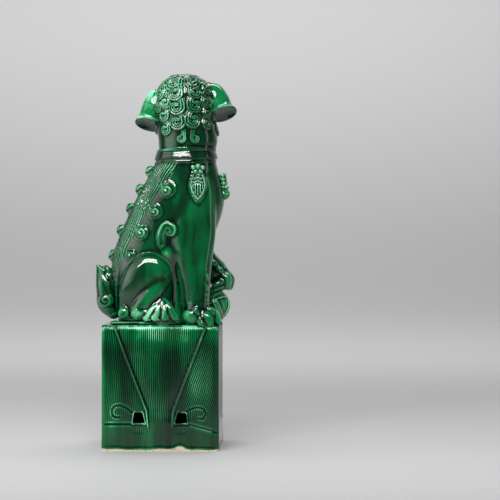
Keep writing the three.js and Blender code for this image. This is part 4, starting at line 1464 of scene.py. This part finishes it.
        def shape(u: Array, v: Array) -> Array:
            """The ear's outside down to the rim, then its dished underside."""
            turn = u * 2 * math.pi
            t = np.clip(v / rim, 0, 1) * step[-1]
            inner = np.clip((v - rim) / dished, 0, 1)
            centre = np.stack([smooth_curve(t, step, path[:, k]) for k in range(3)], axis=-1)
            size = smooth_curve(t, step, sizes) * np.sqrt(ease(-0.001, 2.6, t))
            size = size * (1 - inner**1.3)
            along = unit(np.stack([np.gradient(path[:, k], step) for k in range(3)], axis=1))
            ahead = unit(np.stack([smooth_curve(t, step, along[:, k]) for k in range(3)], axis=-1))
            droop = ease(0.5, 1.0, v / rim)[..., None]
            ahead = unit(ahead * (1 - droop) + mouth * droop)
            front = unit(np.array([0.0, 1.0, 0.0]) - ahead * ahead[..., 1:2])
            wide = np.cross(front, ahead)
            deep = 0.95 + 0.20 * ease(0.4, 1.0, v / rim)
            dish = 3.6 * np.sin(math.pi * np.clip(inner, 0, 1) / 1.6) * (inner > 0)
            return (
                centre
                + wide * (size * np.cos(turn))[..., None]
                + front * (size * deep * np.sin(turn))[..., None]
                - ahead * dish[..., None]
            )

        def folds(place: Array, way: Array, u: Array, v: Array) -> Array:
            """A fine rolled rim round the ear's flare."""
            return 0.55 * hump(v - 0.72, 0.035)

        mesh = Slab(110, 120).bend(name, shape, folds)
        # The ears' glaze is painted paler: a painted highlight for the light that falls on them.
        return Piece(name, mesh, (name,), runs=0.28)

    def face_pieces(self) -> list[Piece]:
        """Jaw, beard, tongue, teeth, nose, eyes and brows."""
        x, z = SKULL[0] + 2, SKULL[2]
        made: list[Piece] = []

        def keep(name: str, clay: Clay, grain: float, soften: int = 2) -> None:
            """Fuses a lump and lists it."""
            made.append(Piece(name, clay.fused(grain, soften), (name,)))

        jaw = Clay("lower_jaw")
        jaw.roll(
            [(x - 11, 22, z - 24), (x, 34.5, z - 26.4), (x + 11, 22, z - 24)],
            [4.2, 4.6, 4.2],
            (40, 60),
            1.0,
            (0, 0.4, 1),
        )
        jaw.dab((x, 19, z - 26), (12, 13, 4.8), (40, 28))
        for k in range(-3, 4):
            reach = 34.6 - 0.75 * k * k
            jaw.dab((x + 3.1 * k, reach, z - 21.4), (1.5, 1.4, 2.2), (14, 10))
        keep("lower_jaw", jaw, 0.5)
        beard = Clay("beard")
        for k in range(-2, 3):
            beard.roll(
                [(x + 2.8 * k, 27, z - 28), (x + 4.4 * k, 31, z - 34), (x + 3.6 * k, 29, z - 39.5)],
                [2.6, 2.6, 0.9],
                (20, 36),
            )
        keep("beard", beard, 0.5)
        tongue = Clay("tongue").roll(
            [(x, 14, z - 20), (x, 26, z - 19.0), (x, 33, z - 20.4)], [2.2, 2.4, 1.8], (50, 50), 2.6, (1, 0, 0)
        )
        keep("tongue", tongue, 0.5)
        teeth = Clay("upper_teeth")
        for k in range(-4, 5):
            reach = 36.0 - 0.55 * k * k
            long = 4.6 if abs(k) == 4 else 2.3
            teeth.dab((x + 2.5 * k, reach, z - 13.0 - long * 0.4), (1.35, 1.3, long), (14, 12))
        teeth.roll(
            [(x - 10, 28, z - 12), (x, 35.6, z - 11.4), (x + 10, 28, z - 12)], [1.7, 1.9, 1.7], (20, 50)
        )
        keep("upper_teeth", teeth, 0.42, 1)
        nose = Clay("nose").dab((x, 39.0, z + 1.2), (5.6, 4.0, 4.2), (36, 26))
        for side in (-1, 1):
            nose.dab((x + side * 4.6, 37.6, z - 0.4), (3.6, 3.6, 3.2), (30, 22))
        keep("nose", nose, 0.42)
        for side, name in ((1, "right"), (-1, "left")):
            eye = Clay(f"{name}_eye").dab((x + side * 9.6, 22.6, z + 6.2), (5.2, 5.2, 5.0), (48, 34))
            eye.dab((x + side * 10.4, 27.4, z + 5.8), (1.9, 1.0, 1.9), (20, 14))
            keep(f"{name}_eye", eye, 0.42, 1)
            brow = Clay(f"{name}_brow")
            for k, r in enumerate((2.7, 2.3, 1.8)):
                brow.roll(
                    [
                        (x + side * (3.0 + k), 26.5 - k, z + 9.0 + 2.6 * k),
                        (x + side * (10.0 + k), 25.4 - k * 1.4, z + 13.4 + 2.2 * k),
                        (x + side * (18.5 + k * 0.6), 18.5 - k, z + 12.6 + 3.0 * k),
                    ],
                    [r * 0.7, r, r * 0.4],
                    (22, 44),
                )
            seat = Seat.facing((x + side * 5.2, 25.6, z + 11.6), (side * 0.1, 1.0, 0.25))
            brow.add(whisker(seat, side), Slab(40, 28))
            keep(f"{name}_brow", brow, 0.45)
        return made

    def pieces(self) -> list[Piece]:
        """Every piece of the head."""
        return [self.head(), self.ear(1), self.ear(-1), *self.face_pieces()]


# ---- Ornaments --------------------------------------------------------------------------------


class Flank(Enum):
    """Which side of the animal a piece lies on."""

    RIGHT = -1
    LEFT = 1

    @property
    def word(self) -> str:
        """The side's name."""
        return self.name.lower()


@dataclass
class Ornaments:
    """Collar, tassels, bell, spine knobs and the curls on the flanks."""

    @staticmethod
    def done(node: str, mesh: bpy.types.Mesh, runs: float = 0.05) -> Piece:
        """A finished ornament that stands for the node of its own name."""
        return Piece(node, mesh, (node,), "thin_green_glaze", runs=runs)

    def collar(self) -> Piece:
        """A band round the throat, beaded at both edges, with a cord under it."""
        low, high = SITE.local_box("collar")
        low, high = low + (0, 0, 2.0), high + (0, 0, 2.0)
        centre = (low + high) / 2
        half = (high - low) / 2
        span = high[2] - low[2]
        band, inside = 0.86, 0.14  # the shares of the sheet on the band and behind it
        heights = np.array([
            0, 0.04, 0.10, 0.17, 0.22, 0.26, 0.30, 0.36, 0.42, 0.56, 0.70, 0.80, 0.88, 0.95, 1.0
        ])
        proud = np.array([
            -1.4, -0.1, 0.35, 0.1, -0.5, -0.3, 0.7, 1.15, 0.95, 0.42, -0.10, -0.48, -0.9, -1.6, -2.9
        ])

        def shape(u: Array, v: Array) -> Array:
            """The band's section swept round the throat."""
            turn = math.pi + u * 2 * math.pi
            up = np.clip(v / band, 0, 1)
            back = np.clip((v - band) / inside, 0, 1)
            out = np.interp(up, heights, proud) - 1.5
            dents = 0.15 * np.sin(8 * turn + 1) + 0.05 * np.sin(15 * turn)
            dents = dents + 0.03 * np.cos(2 * math.pi * up / 0.19 + 0.8 * np.sin(6 * turn))
            out = out + dents * ease(0.34, 0.44, up) * (1 - ease(0.80, 0.88, up))
            out = np.where(v > band, -1.2 - 2.5 * np.sin(math.pi * np.clip(back, 0.15, 0.85)), out)
            z = low[2] + span * np.where(v > band, 1 - back, up)
            tilt = 0.025 * np.cos(turn) * half[0]
            return np.stack(
                [
                    centre[0] + (half[0] + out) * np.cos(turn),
                    centre[1] + (half[1] + out) * np.sin(turn),
                    z + tilt,
                ],
                -1,
            )

        mesh = Slab(220, 86).bend("collar", shape)
        return self.done("collar", mesh)

    def tassel(self, flank: Flank) -> Piece:
        """A leaf-shaped tassel under a knot of beads, on a shoulder."""
        node = f"{flank.word}_tassel"
        low, high = SITE.local_box(node)
        side = flank.value
        x = (low[0] + high[0]) / 2
        surface = low[1] + 3.4 if side < 0 else high[1] - 3.4
        clay = Clay(node)
        seat = Seat.facing(np.array([x, surface, low[2] + 14.5]), np.array([0.0, side, 0.12]))

        def leaf(u: Array, v: Array) -> Array:
            """The leaf with a raised rim, a patterned cap and fluted lower half."""
            turn, tilt = ball_angles(u, v)
            ring = np.cos(tilt)
            z = 15.0 * ring * np.sin(turn)
            narrow = np.clip(1.04 - 0.55 * np.clip(-z / 15, 0, 1) ** 1.6 - 0.28 * np.clip(z / 15, 0, 1), 0, 2)
            x_out = 7.1 * ring * np.cos(turn) * narrow
            h = 3.0 * np.sin(tilt)
            r = ring
            rim = 0.9 * hump(r - 0.80, 0.09) - 0.9 * hump(r - 0.66, 0.07)
            flutes = 0.55 * np.cos(2 * math.pi * x_out / 2.1) * (1 - ease(-2, 1, z)) * (r < 0.62)
            chevron = 0.55 * np.cos(2 * math.pi * (z + 0.35 * np.abs(x_out)) / 3.0)
            chevron = chevron * ease(0, 2, z) * (r < 0.62)
            h = h + np.where(tilt > 0, rim + flutes + chevron, 0)
            return seat.place(x_out, z, h)

        clay.add(leaf, Slab(150, 100))
        top = high[2]
        for dx, dz, r in (
            (0, -1.8, 2.7), (-3.6, -2.6, 2.1), (3.6, -2.6, 2.1), (-1.9, -5.8, 2.2), (2.0, -5.8, 2.2)
        ):
            clay.dab((x + dx, surface + side * 0.8, top + dz), (r, r, r), (22, 16))
        return self.done(node, clay.fused(0.36, 0))

    def bell(self) -> Piece:
        """Beads down the chest and the round bell below them."""
        clay = Clay("chest_bell")
        x, base = SITE.middle("chest_bell")[0] + 0.6, SITE.local_box("chest_bell")[0][2] + 5.6
        clay.dab((x, 0, base), (4.7, 4.7, 4.9), (50, 36))
        clay.dab((x, 0, base), (5.1, 5.1, 0.8), (50, 12))
        for k in range(7):
            turn = k * 2 * math.pi / 7
            clay.dab(
                (x - 0.3 + 2.6 * math.cos(turn), 2.9 * math.sin(turn), base + 5.8), (1.6, 1.6, 1.6), (16, 12)
            )
        for k in range(3):
            for side in (-1, 1):
                clay.dab(
                    (x - 0.8 - 0.5 * k, side * (2.4 - 0.3 * k), base + 9.0 + 3.3 * k),
                    (2.0, 2.0, 2.0),
                    (18, 12),
                )
            clay.dab((x + 0.6 - 0.5 * k, 0, base + 9.6 + 3.3 * k), (2.1, 2.1, 2.1), (18, 12))
        return self.done("chest_bell", clay.fused(0.38, 0))

    def knob(self, index: int) -> Piece:
        """A twisted knob on the spine."""
        node = f"spine_knob_{index}"
        centre = SITE.middle(node)
        low, high = SITE.local_box(node)
        radii = (high - low) / 2 + np.array([0.9, 0.6, 0.7])
        centre = centre + np.array([-0.5, 0.0, 0.2])

        def twist(place: Array, way: Array, u: Array, v: Array) -> Array:
            """Slanted flutes that wind round the knob."""
            off = place - centre
            around = np.arctan2(off[..., 2], off[..., 1])
            return 0.55 * np.cos(5 * around + 0.55 * off[..., 0]) * ease(0.02, 0.2, np.minimum(v, 1 - v))

        mesh = Slab(72, 52).bend(node, egg(centre, radii), twist)
        return self.done(node, mesh)

    def flank_curl(self, flank: Flank, index: int) -> Piece:
        """A snail curl where the mane's strands end on a flank."""
        node = f"{flank.word}_flank_curl_{index}"
        side = flank.value
        low, high = SITE.local_box(node)
        centre = (low + high) / 2
        radius = (6.6, 5.8, 6.4, 5.0)[index - 1]
        face = low[1] + 2.6 if side < 0 else high[1] - 2.6
        seat = Seat.facing(np.array([centre[0], face, centre[2]]), np.array([-0.30, side, 0.05]))
        t = np.linspace(0.0, 1.0, 12)
        angle = math.radians(150) + t * math.radians(440)
        reach = radius * (0.68 - 0.56 * t**0.8)
        hand = -side
        rolled = zip(hand * reach * np.cos(angle), reach * np.sin(angle), 0.2 + 2.0 * t)
        roll = [seat.place(*at) for at in rolled]
        clay = Clay(node)
        clay.roll(roll, list(np.linspace(0.34, 0.24, 12) * radius), (26, 90))
        clay.dab(seat.place(0.0, 0.0, -1.4), (radius * 0.98, 4.2, radius * 0.98), (36, 26))
        return self.done(node, clay.fused(0.34, 1))

    def elbow_curl(self, flank: Flank) -> Piece:
        """The comma-shaped curl behind an elbow."""
        node = f"{flank.word}_elbow_curl"
        side = flank.value
        y = -28.2
        comma = [
            (4.0, y + 4.0, 165),
            (0.4, y + 2.4, 173),
            (1.2, y + 0.8, 183),
            (5.2, y - 0.2, 188.6),
            (9.6, y - 0.8, 186.4),
            (9.2, y - 0.6, 182.0),
            (6.2, y, 181.8),
        ]
        shape = limb(comma, [0.9, 2.4, 3.2, 3.2, 2.9, 2.4, 1.7], 0.8)

        def flutes(place: Array, way: Array, u: Array, v: Array) -> Array:
            """Two fine grooves along the curl."""
            return 0.25 * np.cos(6 * math.pi * u) * ease(0.05, 0.2, v)

        mesh = Slab(54, 110).bend(node, shape if side < 0 else mirrored(shape), flutes)
        return self.done(node, mesh, runs=-0.06)

    def ball(self) -> Piece:
        """The ball under the raised paw, wound with a ribbon."""
        low, high = SITE.local_box("ball")
        centre, radius = (low + high) / 2, (high[2] - low[2]) / 2

        def ribbon(place: Array, way: Array, u: Array, v: Array) -> Array:
            """Crossing bands with a boss where they meet."""
            off = (place - centre) / radius
            bands = np.zeros(off.shape[:-1])
            for axis in ((1, 0.3, 0.5), (-0.6, 0.4, 0.8), (0.2, 1.0, -0.4)):
                d = off @ unit(np.array(axis, float)) * radius
                band = (1 - ease(2.2, 2.8, np.abs(d))) * (0.55 + 0.25 * np.cos(2 * math.pi * d / 1.5))
                bands = np.maximum(bands, band)
            return bands

        mesh = Slab(150, 100).bend("ball", egg(centre, (radius - 0.4,) * 3), ribbon)
        return self.done("ball", mesh)

    def pieces(self) -> list[Piece]:
        """Every ornament."""
        made = [self.collar(), self.bell(), self.ball()]
        made += [self.knob(k) for k in range(1, 6)]
        for flank in Flank:
            made.append(self.tassel(flank))
            made += [self.flank_curl(flank, k) for k in range(1, 5)]
            made.append(self.elbow_curl(flank))
        return made


# ---- Studio -----------------------------------------------------------------------------------


@dataclass
class Studio:
    """A grey sweep painted with the light's falloff, soft boxes on either side and above, and the camera."""

    distance: float = 1.15
    turn: float = 5.3  # degrees that the camera stands round towards the animal's front
    aim: float = 3.70  # degrees that the figure stands left of the camera's axis
    height: float = 0.168
    lens: float = 96.0

    def sweep(self) -> None:
        """The floor that rises into the backdrop, its grey painted with the light's falloff: painted shade
        nearly black along the front, and lighter and darker bands along the floor and up the backdrop.
        """
        made = bmesh.new()
        bmesh.ops.create_grid(made, x_segments=2, y_segments=90, size=1.0)
        for vert in made.verts:
            t = (vert.co.y + 1) / 2
            wide = vert.co.x * 3.2
            s = t * 5.4
            flat, bend = 2.35, 0.75
            if s < flat:
                y, z = s - 1.7, 0.0
            elif s < flat + bend * math.pi / 2:
                a = (s - flat) / bend
                y, z = flat - 1.7 + bend * math.sin(a), bend * (1 - math.cos(a))
            else:
                y, z = flat - 1.7 + bend, bend + (s - flat - bend * math.pi / 2)
            vert.co = (wide, y, z)
        mesh = bpy.data.meshes.new("sweep")
        made.to_mesh(mesh)
        made.free()
        mesh.shade_smooth()
        obj = bpy.data.objects.new("sweep", mesh)
        bpy.context.collection.objects.link(obj)
        paper = bpy.data.materials.new("sweep_paper")
        paper.use_nodes = True
        wires = Wiring(paper.node_tree)
        skin = paper.node_tree.nodes["Principled BSDF"]
        skin.inputs["Roughness"].default_value = 0.7
        where = wires.add("TexCoord").outputs["Object"]
        along = wires.add("VectorMath", {0: where, 1: (0, 1, 1)}, operation="DOT_PRODUCT").outputs["Value"]
        low, high = -0.6, 2.1  # metres along the floor and up the backdrop
        # Painted light and shade: greys that follow the light's falloff along the floor and up the backdrop,
        # nearly black at the front edge as a shadowed floor.
        marks = (
            (-0.42, 0.06), (-0.25, 0.46), (0.0, 0.46), (0.34, 0.33), (0.60, 0.40), (0.83, 0.50), (1.05, 0.32),
            (1.4, 0.34), (1.75, 0.45), (2.05, 0.52),
        )
        painted_light_greys = [((at - low) / (high - low), (grey, grey, grey * 1.01, 1)) for at, grey in marks]
        painted_light_falloff = wires.ramp(wires.spread(along, (low, high)), painted_light_greys)
        painted_light_falloff.color_ramp.interpolation = "B_SPLINE"
        wires.feed(skin, {"Base Color": painted_light_falloff.outputs["Color"]})
        mesh.materials.append(paper)

    def softbox(
        self,
        name: str,
        place: Sequence[float],
        size: tuple[float, float],
        power: float,
        aim: Sequence[float] = (0, 0, 0.2),
    ) -> None:
        """A rectangular soft light aimed at the figure."""
        light = bpy.data.lights.new(name, "AREA")
        light.shape, light.size, light.size_y, light.energy = "RECTANGLE", size[0], size[1], power
        obj = bpy.data.objects.new(name, light)
        obj.location = place
        obj.rotation_euler = (Vector(aim) - Vector(place)).to_track_quat("-Z", "Y").to_euler()
        bpy.context.collection.objects.link(obj)

    def lights(self) -> None:
        """Soft boxes left, right and above, and a dim grey room."""
        for k, size in enumerate((2.0, 1.5, 1.0, 0.5)):
            self.softbox(f"box_left_{k}", (-1.5 - 0.02 * k, -0.6, 0.55), (size, size * 1.2), 1.9 * size**2)
        for k, height in enumerate((0.92, 1.13, 1.36)):
            self.softbox(f"strip_front_{k}", (-0.20, -1.15, height), (1.5, 0.10), 10)
        self.softbox("box_right", (1.35, -0.20, 0.5), (0.25, 1.0), 0.7)
        self.softbox("box_back", (0.1, 0.35, 1.9), (1.8, 0.6), 26, (0, 1.3, 0.4))
        world = bpy.data.worlds.new("room")
        world.use_nodes = True
        world.node_tree.nodes["Background"].inputs["Color"].default_value = (0.62, 0.62, 0.64, 1)
        world.node_tree.nodes["Background"].inputs["Strength"].default_value = 0.10
        bpy.context.scene.world = world

    def camera(self) -> None:
        """The camera, level, a little towards the animal's front."""
        data = bpy.data.cameras.new("camera")
        data.lens, data.sensor_width = self.lens, 36.0
        obj = bpy.data.objects.new("camera", data)
        a = math.radians(self.turn)
        x0, y0 = SITE.x * MM, SITE.y * MM
        obj.location = (x0 + self.distance * math.sin(a), y0 - self.distance * math.cos(a), self.height)
        obj.rotation_euler = (math.pi / 2, 0, math.radians(self.turn - self.aim))
        bpy.context.collection.objects.link(obj)
        bpy.context.scene.camera = obj

    def build(self) -> None:
        """Sets the whole stage."""
        self.sweep()
        self.lights()
        self.camera()
        bpy.context.scene.view_settings.view_transform = "Standard"


def settle(piece: Piece, finish: bpy.types.Material) -> None:
    """Carries a piece into the frame's metres, shades it and puts it on the body."""
    mesh = piece.mesh
    mesh.name = piece.name
    mesh.transform(Matrix.Scale(MM, 4) @ Matrix.Translation((SITE.x, SITE.y, 0.0)))
    mesh.materials.clear()
    mesh.materials.append(finish)
    mesh.shade_smooth()
    mesh.set_sharp_from_angle(angle=SHARP_EDGE)
    obj = bpy.data.objects.new(f"{piece.name}_glazed", mesh)
    bpy.context.collection.objects.link(obj)
    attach(obj, "root")
    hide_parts(*piece.nodes)
    log.info("%s: %d faces", piece.name, len(mesh.polygons))


def main() -> None:
    """Builds every piece, coats it, and sets the stage."""
    logging.basicConfig(level=logging.INFO, format="%(message)s")
    Studio().build()
    pieces = Plinth().pieces() + [Body().piece()] + Legs().pieces() + [Tail().piece()]
    pieces += Head().pieces() + Ornaments().pieces()
    GlazeCoat().lay(pieces)
    finishes = {
        "deep_green_glaze": Glaze("deep_green_glaze_coat").material(),
        "thin_green_glaze": Glaze("thin_green_glaze_coat", drift=0.24).material(),
    }
    walls = Glaze("deep_green_glaze_walls", coat=0.0, index=1.44).material()
    for piece in pieces:
        settle(piece, walls if piece.name.endswith("wall") else finishes[piece.slot])


if __name__ == "__main__":
    main()
